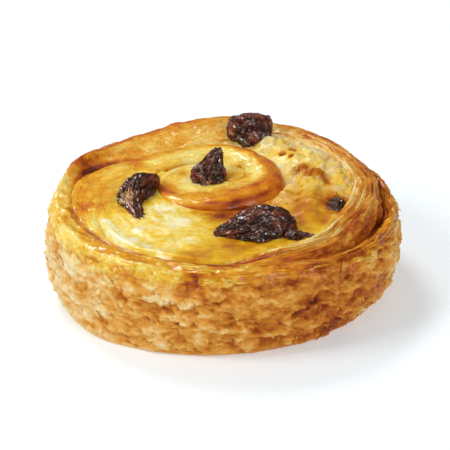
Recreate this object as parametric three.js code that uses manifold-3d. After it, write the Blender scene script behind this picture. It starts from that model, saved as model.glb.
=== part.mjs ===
// A raisin pastry swirl: a slice of a roll of laminated dough, baked with its cut face up.
// One strip of dough winds outwards from the heart of the roll. Custard lies between its turns
// from the base to the top, and raisins sit in the dough and the custard.
// Millimetres, +Z up. The origin is the middle of the plan, on the surface that it stands on.
//
// A place along the strip is its "turn": the angle in degrees that the winding has reached,
// counter-clockwise from above. One turn of the roll is 360. Every table below has rows of
// [turn, value], and the value runs smoothly from row to row.

import * as THREE from "three";
import { mergeVertices } from "three/addons/utils/BufferGeometryUtils.js";
import Module from "manifold-3d";

const wasm = await Module();
wasm.setup();

// ---------------------------------------------------------------- driving dimensions

const FIT = 0.4; // clearance between one piece and the next

// The heart of the roll lies behind the middle. The turns drift to go round the middle itself.
const HEART = new THREE.Vector2(0, 9.5);
const HEART_HOLE = 0.4;
const HEART_PLUG = 1.3;
const DRIFT = [0, 200];

const STRIP = [-430, 756];
const OUTER_WALL = [400, 440]; // the strip's outer edge becomes the pastry's own wall here
const TAIL = [652, 660]; // from here the strip's end lies against the turn before it
const TAIL_GAP = 0.45;

// Radius of the strip's outer edge, up to the turn where it becomes the wall.
const OUTER_EDGE = [
  [-430, 3.5], [-380, 5.5], [-330, 7.4], [-280, 9], [-240, 11.5], [-200, 16.5],
  [-152, 20.2], [-118, 19.6], [-90, 17.9], [-60, 17.8], [-33, 18.5], [10, 17],
  [43, 17.8], [67, 20.6], [90, 24], [113, 27.1], [141, 31.9], [156, 38], [172, 41.2],
  [197, 42.3], [224, 41.8], [249, 41.2], [273, 41.6], [300, 42], [322, 42.4],
  [339, 43.2], [354, 43.9], [368, 44.6], [390, 46], [405, 47.4], [440, 50],
];

// The wall's radius at its widest level.
const WALL_RADIUS = [
  [400, 48.7], [440, 50], [462, 49.6], [484, 47.8], [500, 48], [514, 48.8], [530, 48.5],
  [545, 49.4], [560, 50.6], [592, 50.8], [604, 50.3], [620, 50], [640, 49.8],
  [700, 49.8], [715, 49.8], [735, 48.8], [750, 47.9], [756, 47.5],
];
// Below its widest level the whole roll draws in towards the middle, to this much at the base
// of the wall: [bearing, distance].
const WIDEST_Z = 11.5;
const BASE_IN = [
  [0, 3], [40, 3], [80, 3.4], [160, 3], [185, 4.6], [197, 4], [206, 2.6], [214, 1.4], [230, 0.6],
  [241, 1.4], [253, 2.2], [271, 3.4], [290, 4.2], [320, 5], [338, 4.6], [353, 3.2], [360, 3],
];

// Width of the gap between one turn and the next, which the custard fills.
const GAP_WIDTH = [
  [-70, 0.5], [110, 0.5], [145, 1.6], [160, 3], [172, 6], [185, 11], [200, 16.3],
  [215, 18.9], [230, 21.2], [250, 24.2], [274, 27.4], [287, 27.6], [309, 27.8],
  [326, 25.1], [347, 21.4], [365, 19.8], [385, 18.5], [405, 16.4], [425, 13.2],
  [440, 8.5], [452, 4], [464, 2], [500, 1.7], [517, 2.6], [535, 1.8], [655, 1.6],
];
const OPENING = [-92, -70]; // the first gap opens here, out of the heart
const CUSTARD = [143, 652];

// Heights of the strip: the inner lip, the crest near the outer edge, and the level on the
// outer side where the crest's shoulder meets the upright face.
const LIP_Z = [
  [-430, 26.2], [-250, 26.4], [-100, 26.2], [-60, 26.4], [40, 26.6], [100, 26.8],
  [150, 25.8], [180, 25], [205, 24.2], [250, 24], [275, 24.8], [290, 26], [330, 27],
  [385, 26.8], [425, 26], [455, 26.2], [495, 25], [515, 24.6], [540, 25], [650, 24.8],
  [680, 22], [705, 20.6], [735, 20.8], [756, 22.4],
];
const CREST_Z = [
  [-430, 26.6], [-250, 26.2], [-190, 25.6], [-140, 25.6], [-100, 26.6], [-60, 27.6],
  [0, 28.2], [60, 28], [110, 27.2], [155, 25.6], [180, 25], [205, 24.5], [260, 24.6],
  [310, 25], [340, 26.2], [385, 26.4], [425, 27.2], [455, 28.2], [480, 27], [500, 27],
  [514, 27.6], [530, 26], [560, 25.4], [640, 25.2], [668, 24.4], [700, 22.6], [730, 22.4],
  [756, 23.6],
];
const FACE_Z = [
  [-430, 24.6], [-150, 24.2], [-100, 22.6], [-60, 22.4], [-30, 23.4], [0, 24.4], [60, 24.8],
  [160, 24.2], [270, 23.6], [300, 22], [330, 20.8], [390, 20.6], [425, 14.6], [440, WIDEST_Z],
];
const CREST_IN = [
  [-430, 0.8], [-150, 1.2], [-90, 2], [0, 2.6], [60, 2.2], [110, 1.4], [160, 1],
  [270, 1], [300, 2.8], [330, 3.2], [390, 3.4], [425, 4], [450, 5], [500, 5], [514, 5],
  [530, 7], [548, 6.4], [570, 5.4], [650, 5.4],
  [680, 4.4], [700, 3.2], [756, 3.2],
];
const LIP_RADIUS = 1.2;
const FOOT_RADIUS = 1.5;
const SHOULDER_POWER = 2.3; // 2 is an ellipse, more is squarer

// Custard: height along its two edges, and how far it stands above their mean in between.
const CUSTARD_BASE_Z = 0.3;
const CUSTARD_INNER_Z = [
  [-60, 25.2], [60, 25.6], [140, 25.2], [180, 24.6], [200, 24.2], [230, 23.4], [262, 22.4],
  [300, 22.2], [330, 23.2], [360, 24.2], [400, 24.8], [440, 25.4], [510, 24.8],
  [540, 24.4], [650, 23.8],
];
const CUSTARD_OUTER_Z = [
  [-60, 25.2], [60, 25.6], [140, 25.2], [180, 24.4], [205, 23.8], [250, 23.6], [275, 24.2],
  [290, 25], [330, 25.8], [385, 26], [425, 25.6], [450, 25.4], [510, 24.8],
  [540, 24.4], [650, 23.8],
];
const CUSTARD_RISE = [[150, 0], [190, 0.3], [290, 0.5], [330, 1.2], [365, 1.8], [425, 1.4], [450, 0]];
// Mounds where it has puffed up: [x, y, radius, height].
const CUSTARD_MOUNDS = [[22, 18, 5, 1.6], [27, 9.5, 5.5, 1.5], [20, 3, 4, 0.8], [27, -6, 5, 0.7]];

// Relief: [length of a crag along the surface, its height, how far it stands out].
const WALL_CRAGS = [[7, 3.4, 0.75], [3.4, 2, 0.35]];
const TOP_CRAGS = [[6, 6, 0.35]];

// Raisins: the middle, [length, width, height], the direction of the length, its rise, the roll
// about it, how much the front end narrows, how far the ends curve aside.
const RAISINS = {
  raisin_left: {
    at: [-24.4, -3, 25.0], size: [21, 9.4, 9.4], heading: 264, rise: -14, roll: -10,
    taper: 0.45, curve: 3.6, wrinkles: 3,
  },
  raisin_centre: {
    at: [-3.9, 9.8, 28.0], size: [12.4, 9.2, 8], heading: 62, rise: 30, roll: -14,
    taper: 0.5, curve: -1, wrinkles: 11,
  },
  raisin_back: {
    at: [7.8, 36.2, 28.0], size: [12.8, 10.6, 10.6], heading: 172, rise: -4, roll: 12,
    taper: 0.12, curve: 0.6, wrinkles: 23,
  },
  raisin_front: {
    at: [8.4, -21.4, 25.4], size: [22.6, 15, 12.6], heading: 186, rise: -6, roll: 0,
    taper: 0.5, curve: 1.6, wrinkles: 37,
  },
  raisin_front_small: {
    at: [20.8, -25.6, 24.4], size: [8, 5, 4.8], heading: 2, rise: -4, roll: 0,
    taper: 0.4, curve: 0.4, wrinkles: 41,
  },
  raisin_right: {
    at: [31.1, -6.4, 24.6], size: [9, 5.4, 5.2], heading: 76, rise: 4, roll: 0,
    taper: 0.2, curve: 0.6, wrinkles: 53,
  },
};
const WRINKLE = [2.6, 0.5]; // spacing and depth

// How finely the pieces are faceted: the step of the turn, and the steps across a section.
const COARSE_STEP = 8;
const WALL_STEP = 3.2;
const TOP_STEPS = 4;
const SHOULDER_STEPS = 4;
const FACE_STEPS = 4;
const CUSTARD_STEPS = 5;
const RAISIN_DETAIL = 3;
const MERGE = 0.05; // facets that lie within this of each other are joined

// ---------------------------------------------------------------- small helpers

const degrees = THREE.MathUtils.degToRad;
const clamp = THREE.MathUtils.clamp;
const mix = THREE.MathUtils.lerp;
const ease = THREE.MathUtils.smoothstep;

function bearing(turn) {
  return new THREE.Vector2(Math.cos(degrees(turn)), Math.sin(degrees(turn)));
}

// The value at a turn: a smooth curve through the rows of a table, level beyond its ends.
function follow(rows, turn) {
  const last = rows.length - 1;
  const at = clamp(turn, rows[0][0], rows[last][0] - 1e-6);
  const i = rows.findIndex((row) => row[0] > at) - 1;
  const slope = (k) => {
    const before = rows[Math.max(k - 1, 0)];
    const after = rows[Math.min(k + 1, last)];
    return (after[1] - before[1]) / (after[0] - before[0]);
  };
  const span = rows[i + 1][0] - rows[i][0];
  const t = (at - rows[i][0]) / span;
  const ends = mix(rows[i][1], rows[i + 1][1], t * t * (3 - 2 * t));
  return ends + span * t * (1 - t) * (slope(i) * (1 - t) - slope(i + 1) * t);
}

// Smooth noise from -1 to 1 on a lattice of unit cells. It is the same on every run.
function latticeValue(i, j, k) {
  const wave = Math.sin(i * 12.9898 + j * 78.233 + k * 37.719) * 43758.5453;
  return 2 * (wave - Math.floor(wave)) - 1;
}
function noise(x, y, z) {
  const [i, j, k] = [Math.floor(x), Math.floor(y), Math.floor(z)];
  const [u, v, w] = [ease(x - i, 0, 1), ease(y - j, 0, 1), ease(z - k, 0, 1)];
  const edge = (b, c) => mix(latticeValue(i, b, c), latticeValue(i + 1, b, c), u);
  const low = mix(edge(j, k), edge(j + 1, k), v);
  return mix(low, mix(edge(j, k + 1), edge(j + 1, k + 1), v), w);
}
function crags(list, point) {
  const depth = ([long, high, out]) =>
    out * noise(point.x / long, point.y / long, point.z / high);
  return list.reduce((sum, crag) => sum + depth(crag), 0);
}

// ---------------------------------------------------------------- plan of the roll

function rollCentre(turn) {
  return HEART.clone().multiplyScalar(1 - ease(turn, ...DRIFT));
}

function outerRadius(turn) {
  return mix(follow(OUTER_EDGE, turn), follow(WALL_RADIUS, turn), ease(turn, ...OUTER_WALL));
}

function drawIn(flat, height) {
  const below = Math.max(1 - height / WIDEST_Z, 0) ** 1.7;
  const around = THREE.MathUtils.radToDeg(flat.angle());
  return 1 - (follow(BASE_IN, around) / WALL_RADIUS[0][1]) * below;
}

// How far out the edge of the turn before lies, seen from this turn's centre.
function radiusBeneath(turn) {
  const centre = rollCentre(turn);
  let before = turn - 360;
  let edge = centre;
  for (let round = 0; round < 20; round += 1) {
    edge = rollCentre(before).addScaledVector(bearing(before), outerRadius(before)).sub(centre);
    const error = (THREE.MathUtils.radToDeg(edge.angle()) - turn + 1260) % 360 - 180;
    before = Math.max(before - error * 0.7, STRIP[0]);
  }
  return edge.length();
}

function innerRadius(turn) {
  if (turn <= OPENING[0]) return HEART_HOLE;
  const gap = mix(follow(GAP_WIDTH, turn), TAIL_GAP, ease(turn, ...TAIL));
  return mix(HEART_HOLE, radiusBeneath(turn) + gap, ease(turn, ...OPENING));
}

// ---------------------------------------------------------------- sweeping a closed section

// Joins sections into one closed body. A section is {turn, points}, a point [radius, height,
// relief], and every section has the same number of points, inner side first, over the top.
function sweep(sections, relief) {
  const count = sections[0].points.length;
  const rings = sections.map((section) => placePoints(section, relief));
  const faces = [];
  for (let i = 0; i + 1 < rings.length; i += 1) {
    for (let j = 0; j < count; j += 1) {
      const a = i * count + j;
      const b = i * count + ((j + 1) % count);
      faces.push(a, b, b + count, a, b + count, a + count);
    }
  }
  const middles = rings.length * count;
  for (let j = 0; j < count; j += 1) {
    const next = (j + 1) % count;
    faces.push(next, j, middles);
    faces.push(middles - count + j, middles - count + next, middles + 1);
  }
  const ends = [rings[0], rings.at(-1)].map((ring) => {
    const sum = ring.reduce((total, point) => total.add(point), new THREE.Vector3());
    return sum.divideScalar(count);
  });
  const places = [...rings.flat(), ...ends].flatMap((point) => point.toArray());
  return solidFrom(new Float32Array(places), new Uint32Array(faces));
}

function placePoints({ turn, points }, relief) {
  const out = bearing(turn);
  return points.map(([radius, height, share], j) => {
    const before = points[Math.max(j - 1, 0)];
    const after = points[Math.min(j + 1, points.length - 1)];
    const normal = new THREE.Vector2(before[1] - after[1], after[0] - before[0]).normalize();
    const flat = rollCentre(turn).addScaledVector(out, radius);
    flat.multiplyScalar(drawIn(flat, height));
    const place = new THREE.Vector3(flat.x, flat.y, height);
    const depth = share * relief(place, normal.y);
    return place.add(new THREE.Vector3(out.x * normal.x, out.y * normal.x, normal.y).setLength(depth));
  });
}

function solidFrom(vertProperties, triVerts) {
  return new wasm.Manifold(new wasm.Mesh({ numProp: 3, vertProperties, triVerts }));
}

function solidOf(geometry) {
  const bare = geometry.clone();
  bare.deleteAttribute("normal");
  bare.deleteAttribute("uv");
  const merged = mergeVertices(bare, 1e-4);
  return solidFrom(merged.attributes.position.array, new Uint32Array(merged.index.array));
}

function turnsFrom(start, end, stepAt) {
  const turns = [start];
  while (turns.at(-1) + stepAt(turns.at(-1)) * 1.5 < end) {
    turns.push(turns.at(-1) + stepAt(turns.at(-1)));
  }
  return [...turns, end];
}

// The lower part of an upright face, from the base to the widest level.
function riser(radius, baseZ) {
  const levels = [0, 0.45, 1];
  return levels.map((share) => [radius, mix(baseZ, WIDEST_Z, share), 0]);
}

// ---------------------------------------------------------------- the strip of dough

function stripSection(turn) {
  const inner = innerRadius(turn);
  const outer = outerRadius(turn);
  const lipZ = follow(LIP_Z, turn);
  const crestZ = follow(CREST_Z, turn);
  const faceZ = follow(FACE_Z, turn);
  const shoulder = Math.min(follow(CREST_IN, turn), (outer - inner) * 0.45);
  const lip = Math.min(LIP_RADIUS, (outer - shoulder - inner) * 0.4);
  const onWall = ease(turn, ...OUTER_WALL);
  const foot = mix(FIT, FOOT_RADIUS, onWall);
  const points = riser(inner, 0);
  for (const bend of [0, 45, 90]) {
    const [across, up] = [1 - Math.cos(degrees(bend)), Math.sin(degrees(bend)) - 1];
    points.push([inner + lip * across, lipZ + lip * up, 0]);
  }
  for (let i = 1; i <= TOP_STEPS; i += 1) {
    const share = i / TOP_STEPS;
    const radius = mix(inner + lip, outer - shoulder, share);
    points.push([radius, mix(lipZ, crestZ, ease(share, 0, 1)), 0.6]);
  }
  for (let i = 1; i <= SHOULDER_STEPS; i += 1) {
    const bend = degrees((90 * i) / SHOULDER_STEPS);
    const across = Math.abs(Math.sin(bend)) ** (2 / SHOULDER_POWER);
    const up = Math.abs(Math.cos(bend)) ** (2 / SHOULDER_POWER);
    points.push([outer - shoulder * (1 - across), mix(faceZ, crestZ, up), mix(0.3, 1, onWall)]);
  }
  points.at(-1)[2] = onWall;
  for (let i = 1; i <= FACE_STEPS; i += 1) {
    const share = i / FACE_STEPS;
    const relief = onWall * (1 - 0.6 * share ** 4);
    points.push([outer, mix(faceZ, foot, share), relief]);
  }
  points.push([outer - foot, 0, 0]);
  return { turn, points };
}

// Closes the hole that the sweep leaves at the very centre.
function heartPlug() {
  const height = follow(LIP_Z, STRIP[0]) - 0.3;
  const plug = new THREE.CylinderGeometry(HEART_PLUG, HEART_PLUG, height, 12);
  plug.rotateX(Math.PI / 2);
  plug.translate(HEART.x, HEART.y, height / 2);
  return solidOf(plug);
}

function doughStrip() {
  const turns = turnsFrom(...STRIP, (turn) => (turn < 290 ? COARSE_STEP : WALL_STEP));
  const relief = (point, up) => mix(crags(WALL_CRAGS, point), crags(TOP_CRAGS, point), up ** 2);
  return sweep(turns.map(stripSection), relief);
}

// ---------------------------------------------------------------- the custard

function custardSection(turn) {
  const inner = radiusBeneath(turn) + FIT;
  const outer = innerRadius(turn) - FIT;
  const innerZ = follow(CUSTARD_INNER_Z, turn);
  const outerZ = follow(CUSTARD_OUTER_Z, turn);
  const points = riser(inner, CUSTARD_BASE_Z);
  for (let i = 0; i <= CUSTARD_STEPS; i += 1) {
    const share = i / CUSTARD_STEPS;
    const rise = 4 * share * (1 - share);
    const height = mix(innerZ, outerZ, share) + rise * follow(CUSTARD_RISE, turn);
    points.push([mix(inner, outer, share), height, rise]);
  }
  points.push(...riser(outer, CUSTARD_BASE_Z).reverse());
  return { turn, points };
}

function custardRelief(point) {
  const mounds = CUSTARD_MOUNDS.map(([x, y, radius, height]) => {
    const away = Math.hypot(point.x - x, point.y - y) / radius;
    return height * (1 - ease(away, 0, 1));
  });
  return crags(TOP_CRAGS, point) + mounds.reduce((sum, mound) => sum + mound, 0);
}

function custardLayer() {
  const turns = turnsFrom(...CUSTARD, (turn) => (turn > 170 && turn < 470 ? 6 : COARSE_STEP));
  return sweep(turns.map(custardSection), custardRelief);
}

// ---------------------------------------------------------------- raisins

function raisin({ at, size, heading, rise, roll, taper, curve, wrinkles }, clearance) {
  const shape = new THREE.IcosahedronGeometry(1, RAISIN_DETAIL);
  const half = new THREE.Vector3(...size).multiplyScalar(0.5).addScalar(clearance);
  const depth = clearance ? 0 : WRINKLE[1];
  const point = new THREE.Vector3();
  for (let i = 0; i < shape.attributes.position.count; i += 1) {
    point.fromBufferAttribute(shape.attributes.position, i);
    const along = point.x;
    const furrow = Math.abs(noise((along * half.x) / WRINKLE[0] + wrinkles, point.y * 2, point.z * 2));
    const narrow = 1 - taper * ease(along, -1, 1.2);
    const inset = 1 - (depth * furrow * 2) / half.y;
    point.multiply(half);
    point.y *= narrow * inset;
    point.z *= narrow * inset;
    point.y += curve * along * along;
    shape.attributes.position.setXYZ(i, point.x, point.y, point.z);
  }
  const turned = new THREE.Matrix4().makeRotationFromEuler(
    new THREE.Euler(degrees(roll), degrees(-rise), degrees(heading), "ZYX"),
  );
  shape.applyMatrix4(turned);
  shape.translate(...at);
  return solidOf(shape);
}

// ---------------------------------------------------------------- putting it together

const COLOURS = { dough: 0xc98a3c, custard: 0xe8c35a, raisin: 0x2e1712 };

function meshOf(solid, name, colour) {
  const largest = solid.decompose().sort((a, b) => b.volume() - a.volume())[0];
  const { vertProperties, triVerts } = largest.simplify(MERGE).getMesh();
  const geometry = new THREE.BufferGeometry();
  geometry.setAttribute("position", new THREE.Float32BufferAttribute(vertProperties, 3));
  geometry.setIndex(new THREE.Uint32BufferAttribute(triVerts, 1));
  geometry.computeVertexNormals();
  const material = new THREE.MeshStandardMaterial({ color: colour, roughness: 0.5 });
  const mesh = new THREE.Mesh(geometry, material);
  mesh.name = name;
  return mesh;
}

const raisins = Object.entries(RAISINS);
const pockets = raisins.map(([, row]) => raisin(row, FIT));
const without = (solid, others) => others.reduce((rest, other) => rest.subtract(other), solid);

const pastry = new THREE.Group();
pastry.name = "raisin_swirl";
const dough = without(doughStrip().add(heartPlug()), pockets);
const custard = without(custardLayer(), pockets);
pastry.add(meshOf(dough, "dough", COLOURS.dough), meshOf(custard, "custard", COLOURS.custard));
raisins.forEach(([name, row], i) => {
  // A raisin pressed against one before it gives way to that one.
  const solid = without(raisin(row, 0), pockets.slice(0, i));
  pastry.add(meshOf(solid, name, COLOURS.raisin));
});

// The plan is centred on its own extents.
const extents = new THREE.Box3().setFromObject(pastry);
const middle = extents.getCenter(new THREE.Vector3());
for (const mesh of pastry.children) {
  mesh.geometry.translate(-middle.x, -middle.y, -extents.min.z);
}

export default pastry;
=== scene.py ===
# %% [markdown]
# # A raisin swirl, from the roll of dough to the glaze
#
# The object is a pain aux raisins: one slice of a roll of laminated dough, baked with its cut
# face up. Custard lies between the turns, raisins sit in it, and egg wash makes the top shine.
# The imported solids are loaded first. They fix every size, and each Blender piece below stands
# in the place of one of them.

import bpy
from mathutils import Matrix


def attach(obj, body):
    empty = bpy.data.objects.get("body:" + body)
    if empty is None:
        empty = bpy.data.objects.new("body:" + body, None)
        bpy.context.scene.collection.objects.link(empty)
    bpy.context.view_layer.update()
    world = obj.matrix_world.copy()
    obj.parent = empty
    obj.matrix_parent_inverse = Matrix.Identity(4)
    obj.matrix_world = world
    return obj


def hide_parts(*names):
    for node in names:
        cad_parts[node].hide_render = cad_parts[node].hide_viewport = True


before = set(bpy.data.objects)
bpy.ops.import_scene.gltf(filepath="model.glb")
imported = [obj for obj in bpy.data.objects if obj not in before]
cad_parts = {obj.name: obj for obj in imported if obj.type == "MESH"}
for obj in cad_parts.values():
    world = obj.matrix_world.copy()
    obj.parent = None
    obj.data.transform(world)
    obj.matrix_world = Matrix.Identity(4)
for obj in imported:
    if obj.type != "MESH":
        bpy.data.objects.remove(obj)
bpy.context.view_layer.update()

import math

import bmesh
import bpy
import numpy as np

# %% [markdown]
# ## The camera
#
# A long lens from 62 cm away keeps the swirl nearly free of perspective, as in a product
# picture. A short lens close by would make the front look swollen.

# %% Camera
MM = 0.001
VIEW_TARGET = np.array([0.13, 0.04, 15.5]) * MM
VIEW_ELEVATION = math.radians(27)
VIEW_DISTANCE = 0.618
LENS, SENSOR = 176, 36

scene = bpy.context.scene


def new_object(name, data):
    """An object at the origin, in the scene."""
    made = bpy.data.objects.new(name, data)
    scene.collection.objects.link(made)
    return made


lens = bpy.data.cameras.new("camera")
lens.lens, lens.sensor_width = LENS, SENSOR
camera = new_object("camera", lens)
back = np.array([0, -math.cos(VIEW_ELEVATION), math.sin(VIEW_ELEVATION)])
camera.location = VIEW_TARGET + back * VIEW_DISTANCE
camera.rotation_euler = (math.pi / 2 - VIEW_ELEVATION, 0, 0)
scene.camera = camera
scene.view_settings.view_transform = "Standard"
print("camera at", np.round(camera.location, 3))

# %% [markdown]
# ## Node trees that read like sums
#
# Finishes and reliefs are graphs of small nodes, and most of those add or multiply. They could
# be wired one by one. Here a node's output is wrapped as a term, so that + - * / add the node
# that does it, and the recipe of a surface reads like a formula.

# %% Terms and nodes
class Term:
    """An output of a node, which takes part in sums and products like a number."""

    def __init__(self, socket):
        self.socket, self.tree = socket, socket.id_data

    def beside(self, name):
        """Another output of the same node."""
        return Term(self.socket.node.outputs[name])

    def __add__(self, other):
        return calc("ADD", self, other)

    def __radd__(self, other):
        return calc("ADD", other, self)

    def __sub__(self, other):
        return calc("SUBTRACT", self, other)

    def __rsub__(self, other):
        return calc("SUBTRACT", other, self)

    def __mul__(self, other):
        return calc("MULTIPLY", self, other)

    def __truediv__(self, other):
        return calc("DIVIDE", self, other)

    def __rtruediv__(self, other):
        return calc("DIVIDE", other, self)


def feed(made, inputs):
    """Links or sets a node's inputs, each given by its number, or by its name if it is in use."""
    for key, value in inputs.items():
        by_name = (s for s in made.inputs if s.enabled and s.name == key)
        socket = made.inputs[key] if isinstance(key, int) else next(by_name)
        if isinstance(value, Term):
            value.tree.links.new(value.socket, socket)
        else:
            socket.default_value = value


def term(tree, kind, inputs=(), out=None, **settings):
    """Adds a node, feeds it, and returns its first output in use, or the one with a name."""
    made = tree.nodes.new(kind)
    for name, value in settings.items():
        setattr(made, name, value)
    feed(made, dict(inputs))
    return Term(next(s for s in made.outputs if s.enabled and out in (None, s.name)))


def calc(operation, *values):
    """Math on numbers and terms, part by part where one of them is a vector or a colour."""
    terms = [value for value in values if isinstance(value, Term)]
    vector = any(t.socket.type in ("VECTOR", "RGBA") for t in terms)
    vector = vector or any(isinstance(value, tuple) for value in values)
    kind = "ShaderNodeVectorMath" if vector else "ShaderNodeMath"
    return term(terms[0].tree, kind, enumerate(values), operation=operation)


# %% [markdown]
# ## Floor and light
#
# The picture is of one pastry on white, with a soft shadow at its right. The main lamp stands at
# the left, a wide one in front fills the wall, a small one behind at the left puts glints on the
# glaze, and a very wide one above opens the shadows. The floor glows a little, as a lit table
# does, which keeps it pale without lamps that would bleach the crust.

# %% Floor
def noise_at(place, scale=1, detail=3, roughness=0.5, distortion=0, seed=0):
    """Four-dimensional noise, about 0.5, where the fourth place is the seed."""
    inputs = {"Vector": place, "Scale": scale, "Detail": detail, "Roughness": roughness,
              "Distortion": distortion, "W": seed}
    return term(place.tree, "ShaderNodeTexNoise", inputs, noise_dimensions="4D")


def blend_colour(share, a, b):
    """A mix of two colours, given as terms or as red, green, blue and 1."""
    return term(share.tree, "ShaderNodeMix", {"Factor": share, "A": a, "B": b}, data_type="RGBA")


def new_finish(name, **constants):
    """A material with some constant values, its tree and its shader."""
    made = bpy.data.materials.new(name)
    made.use_nodes = True
    shader = made.node_tree.nodes["Principled BSDF"]
    feed(shader, {key.replace("_", " "): value for key, value in constants.items()})
    return made, made.node_tree, shader


FLOOR_HALF, FLOOR_COLOUR, FLOOR_SPECKLE = 4.0, (0.77, 0.8, 0.83), 0.99
floor_mesh = bpy.data.meshes.new("floor")
corners = [(-1, -1), (1, -1), (1, 1), (-1, 1)]
floor_mesh.from_pydata([(x * FLOOR_HALF, y * FLOOR_HALF, 0) for x, y in corners], [], [(0, 1, 2, 3)])
floor = new_object("floor", floor_mesh)
floor_white, tree, shader = new_finish(
    "floor_white", Roughness=0.9, Specular_IOR_Level=0.1, Emission_Color=(0.85, 0.96, 1, 1),
    Emission_Strength=0.3)
grain = noise_at(term(tree, "ShaderNodeTexCoord", out="Object"), 40)
tones = [(*[c * share for c in FLOOR_COLOUR], 1) for share in (1, FLOOR_SPECKLE)]
feed(shader, {"Base Color": blend_colour(grain, *tones)})
floor_mesh.materials.append(floor_white)
print("floor:", 2 * FLOOR_HALF, "m across")

# %% World and lamps
world = bpy.data.worlds.new("studio")
world.use_nodes = True
feed(world.node_tree.nodes["Background"], {"Color": (1, 1, 1, 1), "Strength": 0.17})
scene.world = world


def soft_box(name, azimuth, elevation, distance, size, watts, colour=(1, 1, 1)):
    """A square lamp that faces the middle of the swirl. Azimuth 0 is behind the camera."""
    light = bpy.data.lights.new(name, "AREA")
    light.energy, light.size, light.color = watts, size, colour
    lamp = new_object(name, light)
    a, e = math.radians(azimuth), math.radians(elevation)
    away = np.array([math.sin(a) * math.cos(e), -math.cos(a) * math.cos(e), math.sin(e)])
    lamp.location = away * distance
    lamp.rotation_euler = (math.pi / 2 - e, 0, a)


soft_box("key_light", -72, 40, 0.9, 0.36, 3.8, (1, 0.985, 0.96))
soft_box("front_light", 34, 30, 1.2, 0.7, 5.4)
soft_box("back_light", -150, 50, 1.0, 0.3, 4.0)
soft_box("top_light", 0, 88, 1.1, 1.3, 2.0)

# %% [markdown]
# ## The rule of the roll
#
# The strip of dough winds outwards, and a place along it is its *turn*: the angle in degrees
# that the winding has reached, counter-clockwise from above. Short tables say how wide, how
# high and how far apart the turns are, and everything else follows from them. One formula for
# a spiral would be shorter, but no real slice is that even. The tables are the sizes of the
# solids, in millimetres, so the fine meshes fall in the same place.

# %% Sizes along the strip
PLAN_MIDDLE = np.array([0.428, -0.043])  # the middle of the plan below, put on the frame's origin
HEART, HEART_HOLE = np.array([0, 9.5]), 0.4
STRIP, CUSTARD_SPAN = (-430, 756), (143, 652)  # the first and last turn of each
DRIFT = (0, 200)  # over these turns the centre drifts from the heart to the middle
OPENING = (-92, -70)  # here the inner face leaves the heart
OUTER_WALL = (400, 440)  # here the strip comes out as the pastry's wall
TAIL, TAIL_GAP = (640, 662), -0.3  # from here the tail lies pressed on the turn before
WIDEST_Z, DRAW_IN_POWER = 11.5, 1.7
FIT, LIP_RADIUS, FOOT_RADIUS, SHOULDER_POWER = 0.4, 1.2, 1.5, 2.3

OUTER_EDGE = [
    [-430, 3.5], [-380, 5.5], [-330, 7.4], [-280, 9], [-240, 11.5], [-200, 16.5],
    [-152, 20.2], [-118, 19.6], [-90, 17.9], [-60, 17.8], [-33, 18.5], [10, 17],
    [43, 17.8], [67, 20.6], [90, 24], [113, 27.1], [141, 31.9], [156, 38], [172, 41.2],
    [197, 42.3], [224, 41.8], [249, 41.2], [273, 41.6], [300, 42], [322, 42.4],
    [339, 43.2], [354, 43.9], [368, 44.6], [390, 46], [405, 47.4], [440, 50]]
WALL_RADIUS = [
    [400, 48.7], [440, 50], [462, 49.6], [484, 47.8], [500, 48], [514, 48.8], [530, 48.5],
    [545, 49.4], [560, 50.6], [592, 50.8], [604, 50.3], [620, 50], [640, 49.8],
    [700, 49.8], [715, 49.8], [735, 48.8], [750, 47.9], [756, 47.5]]
BASE_IN = [  # by compass direction, not by turn: how far the foot draws in
    [0, 3], [40, 3], [80, 3.4], [160, 3], [185, 4.6], [197, 4], [206, 2.6], [214, 1.4],
    [230, 0.6], [241, 1.4], [253, 2.2], [271, 3.4], [290, 4.2], [320, 5], [338, 4.6],
    [353, 3.2], [360, 3]]
GAP_WIDTH = [
    [-70, -0.3], [110, -0.3], [145, 1.2], [160, 3], [172, 6], [185, 11], [200, 16.3],
    [215, 18.9], [230, 21.2], [250, 24.2], [274, 27.4], [287, 27.6], [309, 27.8],
    [326, 25.1], [347, 21.4], [365, 19.8], [385, 18.5], [405, 16.4], [425, 13.2],
    [440, 8.5], [452, 4], [464, 2], [490, 0.7], [504, 1.3], [517, 1.9],
    [530, 0.8], [545, 0.5], [655, 0.4]]
LIP_Z = [
    [-430, 26.2], [-250, 26.4], [-100, 26.2], [-60, 26.4], [40, 26.6], [100, 26.8],
    [150, 25.8], [180, 25], [205, 24.2], [250, 24], [275, 24.8], [290, 26], [330, 27],
    [385, 26.8], [425, 26], [455, 26.2], [495, 25], [515, 24.6], [540, 25], [650, 24.8],
    [680, 22], [705, 20.6], [735, 20.8], [756, 22.4]]
CREST_Z = [
    [-430, 26.6], [-250, 26.2], [-190, 25.6], [-140, 25.6], [-100, 26.6], [-60, 27.6],
    [0, 28.2], [60, 28], [110, 27.2], [155, 25.6], [180, 25], [205, 24.5], [260, 24.6],
    [310, 25], [340, 26.2], [385, 26.4], [425, 27.2], [455, 28.2], [480, 27], [500, 27],
    [514, 27.6], [530, 26], [560, 25.4], [640, 25.2], [668, 24.4], [700, 22.6],
    [730, 22.4], [756, 23.6]]
FACE_Z = [
    [-430, 24.6], [-150, 24.2], [-100, 22.6], [-60, 22.4], [-30, 23.4], [0, 24.4],
    [60, 24.8], [160, 24.2], [270, 23.6], [300, 22], [330, 20.8], [390, 20.6],
    [425, 14.6], [440, WIDEST_Z]]
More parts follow.
